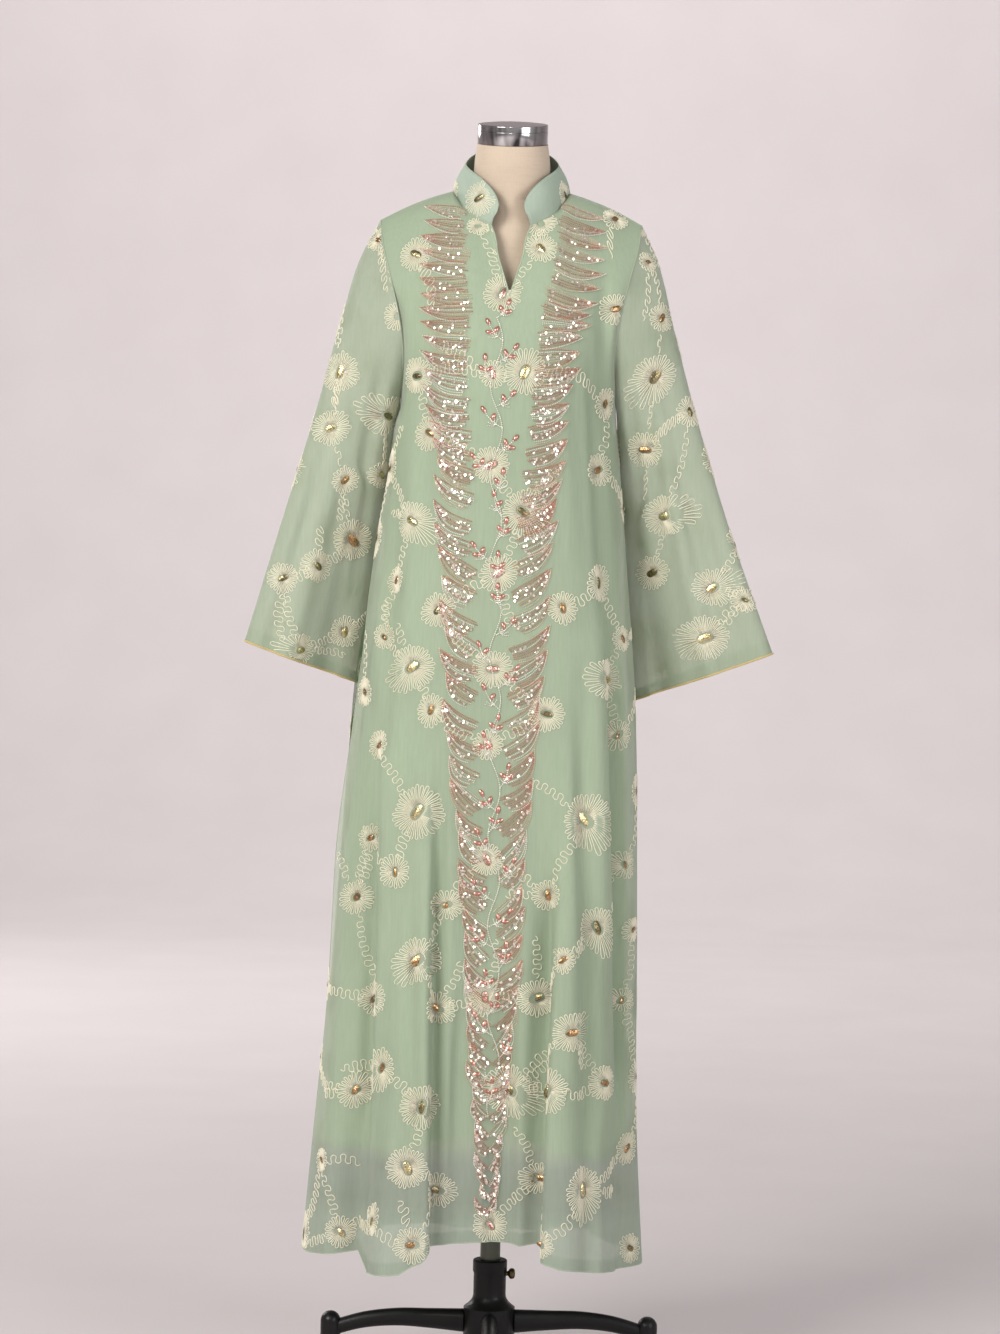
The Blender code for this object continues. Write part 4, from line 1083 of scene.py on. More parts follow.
def dome():
    """An oval cap of two rings and a crown, flat beneath."""
    turns = np.arange(DOME_SIDES) * 2.0 * math.pi / DOME_SIDES
    rows = [(0.0, 0.0, 1.0)]
    for reach, high in ((0.55, 0.84), (1.0, 0.0)):
        rows += [(reach * math.cos(turn), reach * math.sin(turn), high) for turn in turns]
    faces = []
    for inner in range(1, DOME_SIDES + 1):
        after = inner % DOME_SIDES + 1
        outer, outer_after = inner + DOME_SIDES, after + DOME_SIDES
        faces += [(0, inner, after), (inner, outer, outer_after), (inner, outer_after, after)]
    return np.array(rows), np.array(faces)


DOME = dome()


def lathe(name, profile, sides, mat, body, slot, node=None, place=Matrix()):
    """Turned piece: profile of (radius, height) from top to bottom, carried round the Z axis."""
    turns = np.arange(sides) * 2.0 * math.pi / sides
    profile = np.asarray(profile, float)
    ring = np.stack((np.cos(turns), np.sin(turns)), axis=1)
    heights = np.repeat(profile[:, None, 1:], sides, axis=1)
    points = np.concatenate((profile[:, None, :1] * ring, heights), axis=2).reshape(-1, 3)
    points = points @ np.array(place.to_3x3()).T + np.array(place.translation)
    obj = new_piece(name, points, tube_faces(len(profile), sides)[:, (0, 3, 2, 1)], mat, body, slot, node)
    weld(obj, 1e-7)
    obj.data.set_sharp_from_angle(angle=math.radians(38.0))
    return obj


def arc(centre, radius, start_deg, end_deg, count):
    turns = np.radians(np.linspace(start_deg, end_deg, count + 1))
    return [(centre[0] + radius * math.cos(turn), centre[1] + radius * math.sin(turn)) for turn in turns]


CAP_CROWN = 0.0030
POLE_RADIUS = 0.0140
POLE_BOTTOM_Z = 0.090
POLE_TOP_Z = 0.8997
HUB_TOP_Z = 0.182
HUB_BOTTOM_Z = 0.070
HUB_RADIUS = 0.0240
HUB_FOOT_RADIUS = 0.0360
SCREW_Z = 0.162
SCREW_RADIUS = 0.0032
SCREW_KNOB = [(0.0, 0.0355), (0.0045, 0.0352), (0.0066, 0.0340), (0.0073, 0.0322), (0.0076, 0.0300),
              (0.0071, 0.0284), (0.0058, 0.0272), (0.0044, 0.0264)]
LEG_REACH = 0.2225
POST_RADIUS = 0.0140
POST_TOP_Z = 0.105
SEAM_GAP = 0.0003

# Leg centre line from the hub out to the post: share, height of the middle, half height, half width.
LEG_LINE = [
    (0.00, 0.0950, 0.0165, 0.0120),
    (0.25, 0.0970, 0.0140, 0.0105),
    (0.50, 0.0980, 0.0125, 0.0095),
    (0.75, 0.0930, 0.0115, 0.0090),
    (1.00, 0.0800, 0.0110, 0.0085),
]
ARM_SIDES = 28
ARM_RINGS = 25


# Front of the throat behind the neck slit: height, depth in front of the pole's axis.
THROAT = [(1.540, 0.0740), (1.575, 0.0635), (1.600, 0.0575), (1.630, 0.0530), (1.660, 0.0520),
          (1.690, 0.0565)]
THROAT_HALF_WIDE = 0.075

# The form's finer surface: its sides, and its size as a share of the solid's.
FORM_SIDES = 96
FORM_WITHIN = 0.9945


def form_piece():
    """Linen body, with a finer surface that stays just inside the solid's, but for its filled throat."""
    heights, *sizes = np.array(FORM_SECTIONS).T
    turns = np.arange(FORM_SIDES) * 2.0 * math.pi / FORM_SIDES
    cosines, sines = np.cos(turns), np.sin(turns)
    rings = []
    for key in refined(heights, 3):
        half_width, front, back, tilt = (np.interp(key, heights, size) for size in sizes)
        lean = -max(0.0, key - NECK_LEAN_FROM) * NECK_LEAN
        depth = np.where(cosines >= 0, front, back)
        reach = np.abs(cosines / depth) ** FORM_POWER + np.abs(sines / half_width) ** FORM_POWER
        reach = FORM_WITHIN * reach ** (-1.0 / FORM_POWER)
        x, y = reach * sines, -reach * cosines
        height = key + y * math.tan(math.radians(tilt))
        if THROAT[0][0] < key < THROAT[-1][0]:
            lack = max(0.0, through(THROAT, key)[0] + float(y.min() + lean))
            window = np.cos(0.5 * math.pi * np.clip(np.abs(x) / THROAT_HALF_WIDE, 0.0, 1.0)) ** 2
            y = y - lack * window * (cosines > 0)
        ring = np.stack((x, y + lean, height), axis=1)
        rings.append(np.concatenate((ring, ring[:1])))
    faces = grid_faces(len(rings), FORM_SIDES + 1)[:, ::-1]
    obj = new_piece("linen_body", np.concatenate(rings), faces, LINEN, slot="linen", node="form_torso")
    weld(obj, fill=True)
    obj.data.set_sharp_from_angle(angle=math.radians(50.0))


def cap_piece():
    rim = 0.0014
    groove = 0.0180
    profile = [(0.0, CAP_TALL + CAP_CROWN)]
    profile += [(CAP_RADIUS * share, CAP_TALL + CAP_CROWN * (1.0 - share ** 2))
                for share in np.linspace(0.08, 0.95, 12)]
    profile += arc((CAP_RADIUS - rim, CAP_TALL - rim), rim, 84.0, 0.0, 6)
    profile += [(CAP_RADIUS, groove + 0.0005), (CAP_RADIUS - 0.0004, groove), (CAP_RADIUS, groove - 0.0005)]
    profile += [(CAP_RADIUS, 0.0012), (CAP_RADIUS - 0.0008, 0.0), (0.0, 0.0)]
    top = FORM_SECTIONS[-1][0]
    lean = -(top - NECK_LEAN_FROM) * NECK_LEAN
    place = Matrix.Translation((0.0, lean - SEAM_GAP * math.sin(CAP_TILT),
                                top + SEAM_GAP * math.cos(CAP_TILT)))
    place = place @ Matrix.Rotation(CAP_TILT, 4, "X")
    obj = lathe("chrome_cap", profile, 96, CHROME, "figure", "chrome", "neck_cap", place)
    obj.data.materials.append(BRUSHED)
    axis = place.to_3x3() @ Vector((0.0, 0.0, 1.0))
    for polygon in obj.data.polygons:
        polygon.material_index = int(polygon.normal.dot(axis) > 0.9)


def pole_piece():
    edge = 0.0006
    profile = [(0.0, POLE_TOP_Z), (POLE_RADIUS - edge, POLE_TOP_Z), (POLE_RADIUS, POLE_TOP_Z - edge)]
    profile += [(POLE_RADIUS, height) for height in np.linspace(0.85, 0.12, 12)]
    profile += [(POLE_RADIUS, POLE_BOTTOM_Z + edge), (POLE_RADIUS - edge, POLE_BOTTOM_Z)]
    profile.append((0.0, POLE_BOTTOM_Z))
    lathe("painted_pole", profile, 64, STEEL, "pole", "steel", "pole")


def hub_piece():
    bore = POLE_RADIUS + SEAM_GAP + 0.0002
    floor = POLE_BOTTOM_Z - SEAM_GAP
    lip = 0.0025
    waist = HUB_RADIUS - 0.0012
    profile = [(0.0, floor), (bore, floor), (bore, HUB_TOP_Z - 0.0008), (bore + 0.0008, HUB_TOP_Z)]
    profile += arc((HUB_RADIUS - lip, HUB_TOP_Z - lip), lip, 90.0, 0.0, 8)
    profile += [(HUB_RADIUS, HUB_TOP_Z - 0.016), (HUB_RADIUS - 0.0005, HUB_TOP_Z - 0.0178)]
    profile += [(waist, HUB_TOP_Z - 0.0195), (waist, 0.138)]
    profile += [(waist + (HUB_FOOT_RADIUS - waist) * down ** 2.2, 0.134 - 0.019 * down)
                for down in np.linspace(0.0, 1.0, 9)]
    profile += [(HUB_FOOT_RADIUS, HUB_BOTTOM_Z + 0.006), (HUB_FOOT_RADIUS - 0.002, HUB_BOTTOM_Z + 0.0018)]
    profile += [(HUB_FOOT_RADIUS - 0.006, HUB_BOTTOM_Z), (0.0, HUB_BOTTOM_Z)]
    lathe("cast_hub", profile, 72, IRON, "stand", "iron", "stand_hub")


def screw_piece():
    tip = POLE_RADIUS + SEAM_GAP
    place = Matrix.Translation((0.0, 0.0, SCREW_Z)) @ Matrix.Rotation(0.5 * math.pi, 4, "Y")
    profile = SCREW_KNOB + [(SCREW_RADIUS, HUB_RADIUS + 0.0010), (SCREW_RADIUS, tip), (0.0, tip)]
    lathe("brass_screw", profile, 48, BRONZE, "thumb_screw", "bronze", "thumb_screw", place)


def leg_pieces():
    """Four arms from the hub, each with its rounded post and foot."""
    profile = arc((0.0, POST_TOP_Z - POST_RADIUS), POST_RADIUS, 90.0, 0.0, 10)
    profile += [(POST_RADIUS, 0.022), (POST_RADIUS + 0.0006, 0.015), (POST_RADIUS + 0.002, 0.010)]
    profile += [(POST_RADIUS + 0.002, 0.0020), (POST_RADIUS + 0.0012, 0.0006), (POST_RADIUS, 0.0), (0.0, 0.0)]
    start = HUB_FOOT_RADIUS * math.cos(math.radians(7.5)) + SEAM_GAP
    turns = 2.0 * math.pi * (np.arange(ARM_SIDES) + 0.5) / ARM_SIDES
    rings = []
    for share in np.linspace(0.0, 1.0, ARM_RINGS):
        middle, half_height, half_width = through(LEG_LINE, share)
        ring = np.stack((np.full(ARM_SIDES, start + (LEG_REACH - start) * share), half_width * np.cos(turns),
                         middle + half_height * np.sin(turns)), axis=1)
        rings.append(np.concatenate((ring, ring[:1])))
    for name, turn in (("left", 0.0), ("back", 90.0), ("right", 180.0), ("front", 270.0)):
        place = Matrix.Rotation(math.radians(turn), 4, "Z")
        points = np.concatenate(rings) @ np.array(place.to_3x3()).T
        faces = grid_faces(ARM_RINGS, ARM_SIDES + 1)[:, ::-1]
        weld(new_piece("cast_arm_" + name, points, faces, IRON, "stand", "iron", "leg_" + name))
        lathe("cast_post_" + name, profile, 48, IRON, "stand", "iron",
              place=place @ Matrix.Translation((LEG_REACH, 0.0, 0.0)))


# Daisies by the column and row of the photograph where each one's middle shows: radius in columns,
# the finish of its sequin, and the direction of a fan of longer petals in degrees (0 right, 90 up) if
# it has one.
FRONT_DAISIES = [
    (540, 219, 16, "olive"), (541, 248, 15, "gold"), (503, 293, 18, "rose"), (416, 254, 17, "olive"),
    (616, 309, 15, "copper"), (417, 376, 18, "olive"), (525, 372, 20, "gold"), (493, 374, 13, "rose"),
    (615, 219, 13, "copper"), (478, 226, 10, None), (412, 521, 19, "gold", -30),
    (430, 433, 17, "copper"), (491, 465, 18, "rose"), (523, 512, 20, "olive", -40),
    (499, 573, 17, "rose"), (598, 470, 16, "copper"), (605, 404, 14, "copper"), (598, 583, 16, "olive"),
    (563, 608, 15, "copper"), (438, 610, 15, "olive"), (384, 637, 12, "copper"),
    (397, 580, 12, "copper"), (412, 667, 22, "gold", -145), (365, 692, 14, "copper"),
    (493, 669, 18, "rose"), (605, 680, 20, "gold", 175), (547, 714, 17, "olive"),
    (623, 639, 12, "copper"), (431, 710, 14, "copper"), (417, 812, 24, "gold"),
    (370, 838, 13, "copper"), (395, 872, 14, "copper"), (356, 897, 16, "copper"),
    (447, 905, 14, "copper"), (418, 960, 20, "copper", -145), (380, 745, 14, "copper"),
    (585, 820, 24, "gold", -50), (548, 895, 15, "copper"), (598, 928, 20, "olive", -60),
    (563, 960, 13, "copper"), (537, 998, 18, "olive"), (572, 1033, 18, "copper", 10),
    (605, 1083, 17, "copper"), (510, 1090, 22, "olive", -20), (487, 860, 16, "rose"),
    (488, 745, 15, "rose"), (485, 997, 16, "rose"), (437, 1008, 15, "copper"),
    (382, 1068, 17, "copper", -130), (355, 1090, 16, "copper"), (320, 1055, 13, "copper"),
    (422, 1107, 20, "olive"), (407, 1168, 20, "gold"), (322, 1160, 12, "copper"),
    (437, 1190, 16, "olive"), (340, 1232, 15, "gold"), (372, 1222, 14, "gold", 60),
    (412, 1245, 18, "copper"), (582, 1190, 22, "gold", -90), (540, 1178, 15, "copper"),
    (627, 1148, 15, "copper"), (630, 1248, 14, "olive"), (490, 1225, 16, "rose"),
    (625, 865, 12, "copper"), (618, 735, 13, "copper"), (622, 1000, 12, "copper"),
]
COLLAR_DAISIES = [
    (479, 198, 17, "olive"), (565, 195, 12, "olive"), (447, 197, 10, "copper"),
]
SLEEVE_DAISIES = {
    "right": [
        (340, 372, 20, "gold"), (331, 428, 17, "gold"), (388, 416, 18, "olive", 160),
        (382, 475, 14, "gold"), (345, 480, 14, "copper"), (352, 540, 20, "copper"),
        (318, 566, 16, "olive"), (283, 578, 15, "olive"), (300, 650, 16, "gold", 180),
        (345, 632, 15, "gold"), (400, 312, 14, "copper"), (378, 240, 12, "copper"),
    ],
    "left": [
        (662, 318, 14, "copper"), (655, 377, 20, "olive", -120), (690, 412, 13, "olive"),
        (645, 450, 18, "copper"), (665, 516, 20, "gold", 15), (652, 573, 17, "olive"),
        (713, 588, 18, "gold", 30), (705, 638, 22, "gold", -160), (735, 545, 15, "olive"),
        (745, 600, 12, "olive"), (648, 262, 10, "copper"), (640, 225, 10, "copper"),
    ],
}
DAISY_APART = 0.088
STREWN_TRIES = 2600

# Meanders: how far apart the daisies are that one joins, the shortest way between their petals,
# and the share of daisies that a loose one leaves.
LINK_SPAN = (0.055, 0.175)
LINK_LEAST = 0.014
LOOSE_SHARE = 0.42

# Beaded bands down the front by row of the photograph. For its left and then its right: column of the
# leaves' tips, column of their bases, and how far they rise from base to tip. Then their half width
# and the step to the next.
BANDS = [
    (212, 425, 466, 8, 609, 559, -15, 7.4, 13),
    (262, 421, 470, 7, 606, 555, -14, 8.2, 14),
    (310, 421, 472, 3, 591, 541, -8, 8.4, 14),
    (340, 423, 470, 10, 585, 536, 4, 8.8, 16),
    (400, 425, 471, 20, 574, 531, 14, 9.6, 20),
    (470, 434, 472, 26, 563, 523, 22, 10.0, 22),
    (560, 438, 474, 30, 553, 515, 30, 10.4, 25),
    (700, 444, 475, 32, 543, 508, 33, 10.6, 27),
    (850, 457, 481, 30, 528, 501, 32, 9.6, 26),
    (1000, 465, 487, 29, 518, 497, 29, 8.0, 23),
    (1100, 472, 487, 24, 507, 492, 24, 6.0, 18),
    (1180, 478, 487, 18, 496, 489, 18, 4.0, 14),
]
# Rows between which the leaves carry most sequins.
GLITTER_ROWS = (330, 620)
BAND_END_ROW = 1215

# Vine of beads up the centre: rows of the photograph where it starts and ends.
VINE_TOP_ROW = 318
VINE_END_ROW = 1120
VINE_COLUMN = 497
VINE_STEP = 27


def places_of(cloth, places):
    return np.array([cloth.place_of(column, row) for column, row in places])


def stretches(points, normals, fits):
    """Unbroken stretches of a line, as points and normals."""
    ends = np.flatnonzero(np.diff(np.concatenate(([0], fits, [0]))))
    return [(points[start:end], normals[start:end]) for start, end in ends.reshape(-1, 2) if end - start > 1]


def laid(cloth, line, lift):
    """Stretches of a line of places that lie on the cloth, as points and normals."""
    points, normals = cloth.surface(line)
    return stretches(points + normals * lift, normals, cloth.inside(line))


def drawn(cloth, at, line, lift):
    """Stretches of a line drawn to the right of and up from a frame on the cloth."""
    origin, right, up, normal = at
    points, normals, fits = cloth.drop(origin + line[:, :1] * right + line[:, 1:] * up, normal)
    return stretches(points + normals * lift, normals, fits)


def daisy_line(rng, radius, tail):
    """One cord looped into petals round a middle."""
    count = max(14, int(round(2.0 * math.pi * radius / PETAL_APART + rng.uniform(-1, 1))))
    inner = 0.40 * radius
    oval = rng.uniform(0.48, 0.66)
    lean = rng.uniform(0.0, math.pi)
    shift = rng.uniform(0.0, 1.0)
    stretch = rng.uniform(-0.05, 0.22)
    reach_share = np.array((0.0, 0.45, 0.80, 0.96, 1.0, 0.96, 0.80, 0.45, 0.0))
    spread = np.array((-0.36, -0.50, -0.62, -0.46, 0.0, 0.46, 0.62, 0.50, 0.36))
    line = []
    for petal in range(count):
        turn = 2.0 * math.pi * (petal + shift) / count
        length = radius * (1.0 + rng.uniform(-0.08, 0.08)) * (1.0 + stretch * math.cos(turn - lean) ** 2)
        if tail is not None:
            length *= 1.0 + 0.58 * max(0.0, math.cos(turn - tail)) ** 4
        start = inner * (1.0 - (1.0 - oval) * math.sin(turn - (lean if tail is None else tail)) ** 2)
        turns = turn + spread * math.pi / count * (1.0 + rng.uniform(-0.12, 0.12))
        reach = start + (length - start) * reach_share
        line.append(np.stack((reach * np.cos(turns), reach * np.sin(turns)), axis=1))
    return np.concatenate(line), lean


def meander_line(rng, start, end):
    """A cord that wanders in loops from one place to another."""
    start = np.asarray(start)
    end = np.asarray(end)
    far = float(np.linalg.norm(end - start))
    ahead = (end - start) / far
    beside = np.array((-ahead[1], ahead[0]))
    swings = max(3, int(round(far / 0.0064)))
    u = np.linspace(0.0, 1.0, swings * 9 + 1)
    heights = [rng.random() for _ in range(swings + 1)]
    strong = 0.0056 * (0.70 + 0.5 * np.interp(u * swings, np.arange(swings + 1), heights))
    strong *= np.clip(np.minimum(u, 1.0 - u) * 8.0, 0.0, 1.0)
    bow = rng.uniform(-0.16, 0.16) * far * np.sin(math.pi * u)
    wave = 2.0 * math.pi * swings * u * 0.5
    along = far * u - 0.36 * strong * np.sin(2.0 * wave)
    aside = bow + strong * np.sin(wave) * 1.25
    return start + along[:, None] * ahead + aside[:, None] * beside


def links(daisies, shortest, longest):
    """Pairs of neighbouring daisies that a meander joins."""
    used = [0] * len(daisies)
    chosen = []
    for apart, one, other in sorted((float(np.linalg.norm(daisies[one][0] - daisies[other][0])), one, other)
                                    for one, other in combinations(range(len(daisies)), 2)):
        near = shortest < apart < longest
        if near and used[one] < 2 and used[other] < 2 and (one * 7 + other * 5) % 4:
            used[one] += 1
            used[other] += 1
            chosen.append((daisies[one], daisies[other]))
    return chosen


def strewn(cloth, rng, taken, allowed, apart):
    """Extra daisies over the cloth that the photograph doesn't show, clear of those already placed."""
    found = []
    wide = float(cloth.across.max() - cloth.low)
    for _ in range(STREWN_TRIES):
        place = np.array((cloth.low + wide * rng.random(), cloth.down[-1] * rng.random()))
        if not cloth.inside(place[None, :], 0.012)[0] or not allowed(place):
            continue
        if all(np.linalg.norm(place - other) > apart for other in taken):
            taken.append(place)
            radius = rng.choice((0.017, 0.020, 0.022, 0.025, 0.028))
            tail = rng.choice((None, None, None, rng.uniform(0.0, 2.0 * math.pi)))
            found.append((place, radius, tail, rng.choice(("gold", "olive", "copper", "copper"))))
    return found


def listed(cloth, table):
    """Daisies of a table, with their places on the cloth and radii in metres."""
    return [(cloth.place_of(column, row), radius * PIXEL_M, math.radians(tail[0]) if tail else None, finish)
            for column, row, radius, finish, *tail in table]


def studs(name, rows, lift, shape, mat):
    """One piece of many small copies of a shape: rows of a point, its normal, heading and size."""
    points, normals, heads, sizes = (np.array(column) for column in zip(*rows))
    made = scattered(points + normals * lift, normals, heads, sizes, *shape)
    return new_piece(name, *made, mat)


def embroider(name, cloth, daisies, seed, wander=True):
    """Cord daisies, meanders and their oval sequins on one cloth."""
    rng = random.Random(seed)
    lines = []
    sequins = {finish: [] for finish in SEQUINS}
    for place, radius, tail, finish in daisies:
        at = cloth.frame_at(place)
        line, lean = daisy_line(rng, radius, tail)
        lines += drawn(cloth, at, line, CORD_LIFT)
        if finish and cloth.inside(place[None, :], 0.005)[0]:
            turn = lean if tail is None else tail
            long = radius * rng.uniform(0.34, 0.41)
            size = (long, long * rng.uniform(0.42, 0.56), SEQUIN_TALL)
            sequins[finish].append((at[0], at[3], math.cos(turn) * at[1] + math.sin(turn) * at[2], size))
    for start, end in links(daisies, *LINK_SPAN) if wander else []:
        ahead = end[0] - start[0]
        far = np.linalg.norm(ahead)
        if far - 0.9 * (start[1] + end[1]) > LINK_LEAST:
            path = meander_line(rng, start[0] + ahead / far * start[1] * 0.9,
                                end[0] - ahead / far * end[1] * 0.9)
            lines += laid(cloth, path, CORD_LIFT)
    for place, radius, _, _ in daisies if wander else []:
        if rng.random() < LOOSE_SHARE:
            turn = rng.uniform(0.0, 2.0 * math.pi)
            heading = np.array((math.cos(turn), -math.sin(turn)))
            path = meander_line(rng, place + heading * radius * 1.05,
                                place + heading * (radius + rng.uniform(0.03, 0.07)))
            lines += laid(cloth, path, CORD_LIFT)
    made = [new_piece(name + "_cords", *strands(lines, CORD_RADIUS), CORD)]
    return made + [studs(name + "_sequins_" + finish, rows, 0.0006, DOME, SEQUINS[finish])
                   for finish, rows in sequins.items() if rows]


def band_row(row):
    """The bands' measures at a row of the photograph."""
    rows, *columns = np.array(BANDS, float).T
    return [float(np.interp(row, rows, column)) for column in columns]


def leaves(cloth, rng):
    """Base, tip, normal, half width, row, outer side and rise of every leaf of both bands."""
    found = []
    for first, outer in ((0, 1.0), (3, -1.0)):
        row = BANDS[0][0]
        while row < BAND_END_ROW:
            *edges, half, step = band_row(row)
            tip, base, rise = edges[first:first + 3]
            tip += rng.uniform(-3.5, 3.5)
            base += rng.uniform(-2.0, 2.0)
            lift = rise * rng.uniform(0.8, 1.2)
            places = places_of(cloth, ((base, row + 0.45 * lift), (tip, row - 0.55 * lift)))
            points, normals = cloth.surface(places)
            normal = unit(normals[0] + normals[1])
            found.append((*points, normal, half * rng.uniform(0.9, 1.1) * PIXEL_M, row, outer, abs(rise)))
            row += step * rng.uniform(0.85, 1.15)
    return found


def even_line(points, normals, step):
    """The same line with points a step apart."""
    far = np.concatenate(([0.0], np.cumsum(np.linalg.norm(np.diff(points, axis=0), axis=1))))
    at = np.arange(0.0, far[-1], step)
    return [np.stack([np.interp(at, far, axis) for axis in value.T], axis=1) for value in (points, normals)]


def leaf_width(share):
    """Width of a leaf from base to tip, as a share of its widest."""
    return np.sin(math.pi * (0.34 + 0.66 * share)) ** 0.9


def leaf_rows(cloth, leaf, rng):
    """Rows of beads along one leaf, as kinds and lines, and its sequins as points and normals."""
    base, tip, normal, half, row, outer, rise = leaf
    ahead = tip - base
    far = float(np.linalg.norm(ahead))
    beside = np.cross(normal, ahead / far)
    bend = (outer * 0.13 * min(1.0, rise / 20.0) + rng.uniform(-0.05, 0.05)) * far

    def spread(along, off):
        aside = off * half * leaf_width(along) + bend * np.sin(math.pi * along)
        return cloth.drop(base + along[:, None] * ahead + aside[:, None] * beside, normal)

    count = max(5, 2 * int(round(half / ROW_APART)) + 1)
    made = []
    for off in np.linspace(-1.0, 1.0, count):
        edge = abs(off) > 0.99
        start = rng.uniform(0.0, 0.08) + 0.05 * abs(off)
        stop = 1.0 if edge else rng.uniform(0.84, 0.97)
        points, normals, fits = spread(np.linspace(start, stop, 16), off)
        chance = rng.random()
        if off * outer > 0.99:
            kind = "silver" if chance < 0.5 else "pale"
        elif chance < (0.7 if edge else 0.52):
            kind = "rose"
        else:
            kind = "silver" if not edge and chance < 0.74 and row > 300 else "pale"
        made += [(kind, piece) for piece in stretches(points, normals, fits)]
    count = rng.randint(24, 31) if GLITTER_ROWS[0] < row < GLITTER_ROWS[1] else rng.randint(11, 16)
    along = np.array([rng.uniform(0.05, 0.85) for _ in range(count)])
    points, normals, fits = spread(along, np.array([rng.uniform(-0.75, 0.75) for _ in range(count)]))
    return made, points[fits], normals[fits]


def tilted(normals, most, rng):
    """Normals turned a little, each its own way."""
    return unit(normals + np.array([[rng.uniform(-most, most) for _ in range(3)] for _ in normals]))


def beads(name, lines, step, size, lift, tilt, mat, rng):
    """One piece of beads a step apart along lines."""
    runs = [even_line(*line, step) for line in lines]
    rows = [(at + out * lift, out, np.gradient(at, axis=0)) for at, out in runs if len(at) > 1]
    points, normals, heads = (np.concatenate(column) for column in zip(*rows))
    shape = scattered(points, tilted(normals, tilt, rng), heads, size, BEAD, BEAD_FACES)
    return new_piece(name, *shape, mat)


def bead_bands(cloth):
    """Both bands of leaves and the vine between them."""
    rng = random.Random(11)
    rows = {"rose": [], "silver": [], "pale": []}
    spots = []
    for leaf in leaves(cloth, rng):
        lines, points, normals = leaf_rows(cloth, leaf, rng)
        for kind, line in lines:
            rows[kind].append(line)
        spots.append((points, normals))
    stems, drops, sprays = vine(cloth, rng)
    made = [beads("band_beads_" + kind, lines, BEAD_STEP, BEAD_SIZE, 0.0013, 0.35, BEADS[kind], rng)
            for kind, lines in rows.items()]
    points, normals = (np.concatenate(column) for column in zip(*spots))
    turned = tilted(normals, 0.38, rng)
    heads = np.roll(turned, 1, axis=1)
    shape = scattered(points + normals * 0.0020, turned, heads, SEQUIN_SIZE, DISC, DISC_FACES)
    made.append(new_piece("band_sequins", *shape, BEADS["sequin"]))
    silver = BEADS["silver"]
    made.append(beads("vine_stem", stems, 0.0029, (0.0015, 0.0013, 0.0012), 0.0014, 0.2, silver, rng))
    made.append(beads("vine_sprays", sprays, 0.0026, (0.0014, 0.0010, 0.0010), 0.0013, 0.2, silver, rng))
    made.append(studs("vine_drops", drops, 0.0008, DOME, BEADS["drop"]))
    return made


def vine(cloth, rng):
    """Stem and branches of silver beads, with rose drops and small sprays, up the centre."""
    rows = np.arange(VINE_TOP_ROW, VINE_END_ROW, 7.0)
    down = rows - VINE_TOP_ROW
    columns = VINE_COLUMN - 0.006 * down + 6.0 * np.sin(down / 90.0 * 2.0 * math.pi)
    stems = laid(cloth, places_of(cloth, zip(columns, rows)), 0.0)
    drops = []
    sprays = []
    row = VINE_TOP_ROW
    side = 1.0
    while row < VINE_END_ROW:
        at = cloth.frame_at(cloth.place_of(float(np.interp(row, rows, columns)), row))
        reach = rng.uniform(0.022, 0.033)
        turn = math.radians(rng.uniform(15.0, 60.0))
        heading = np.array((side * math.cos(turn), math.sin(turn)))
        beside = np.array((-heading[1], heading[0]))
        along = np.linspace(0.0, 1.0, 10)[:, None]
        branch = reach * along * heading + side * 0.35 * reach * along ** 2 * beside
        stems += drawn(cloth, at, branch, 0.0)
        end = branch[-1] - branch[-2]
        end_turn = math.atan2(end[1], end[0])
        for place, drop_turn, chance in ((branch[-1] + 0.004 * end / np.linalg.norm(end), end_turn, 1.0),
                                         (branch[5] + 0.0055 * side * beside, end_turn + 1.0 * side, 0.9),
                                         (branch[7] - 0.0055 * side * beside, end_turn - 0.9 * side, 0.75)):
            if rng.random() < chance:
                spot = at[0] + place[0] * at[1] + place[1] * at[2]
                point, normal, fits = cloth.drop(spot[None, :], at[3])
                if fits[0]:
                    head = math.cos(drop_turn) * at[1] + math.sin(drop_turn) * at[2]
                    drops.append((point[0], normal[0], head, DROP_SIZE))
        for turn in end_turn + np.arange(-2, 3) * 0.5:
            ray = np.linspace(0.002, 0.011, 6)[:, None] * np.array((math.cos(turn), math.sin(turn)))
            sprays += drawn(cloth, at, branch[3] - beside * side * 0.003 + ray, 0.0)
        side = -side
        row += VINE_STEP * rng.uniform(0.7, 1.0)
    return stems, drops, sprays


# Cloth pieces.


def flat_area(points):
    """Area of a grid of points, each quad as two triangles."""
    first = np.cross(points[1:, 1:] - points[:-1, :-1], points[1:, :-1] - points[:-1, 1:])
    return 0.5 * float(np.sum(np.linalg.norm(first, axis=2)))


def rolled_edge(name, runs, radius, mat, **roles):
    """Rolled or corded edges that follow runs of points and normals."""
    return new_piece(name, *strands(runs, radius, 6), mat, **roles)


def lining_depth(rows):
    """How far the lining hangs inside the outer skin in each fine row."""
    free = smooth((np.arange(rows) / FINE - BODICE_ROWS) / LINING_FREE_ROWS)
    shrink = LINING_SHRINK_TOP + (LINING_SHRINK_SKIRT - LINING_SHRINK_TOP) * free
    shrink[0] = LINING_SHRINK_SEAM
    return (CLOTH + SEAM_GAP + shrink)[:, None, None]


def chiffon(name, stands_for, hem, points, normals, plain, zero, **how):
    """A piece of chiffon, its turned hem and its Cloth; hem gives the hem's name and rows."""
    obj = grid_piece(name, points, CHIFFON, slot="chiffon", node=stands_for, **how)
    rows = slice(-hem[1], None)
    turned = grid_piece(hem[0], points[rows] - normals[rows] * HEM_TURN, CHIFFON)
    return obj, [turned], Cloth(points, normals, zero, plain)


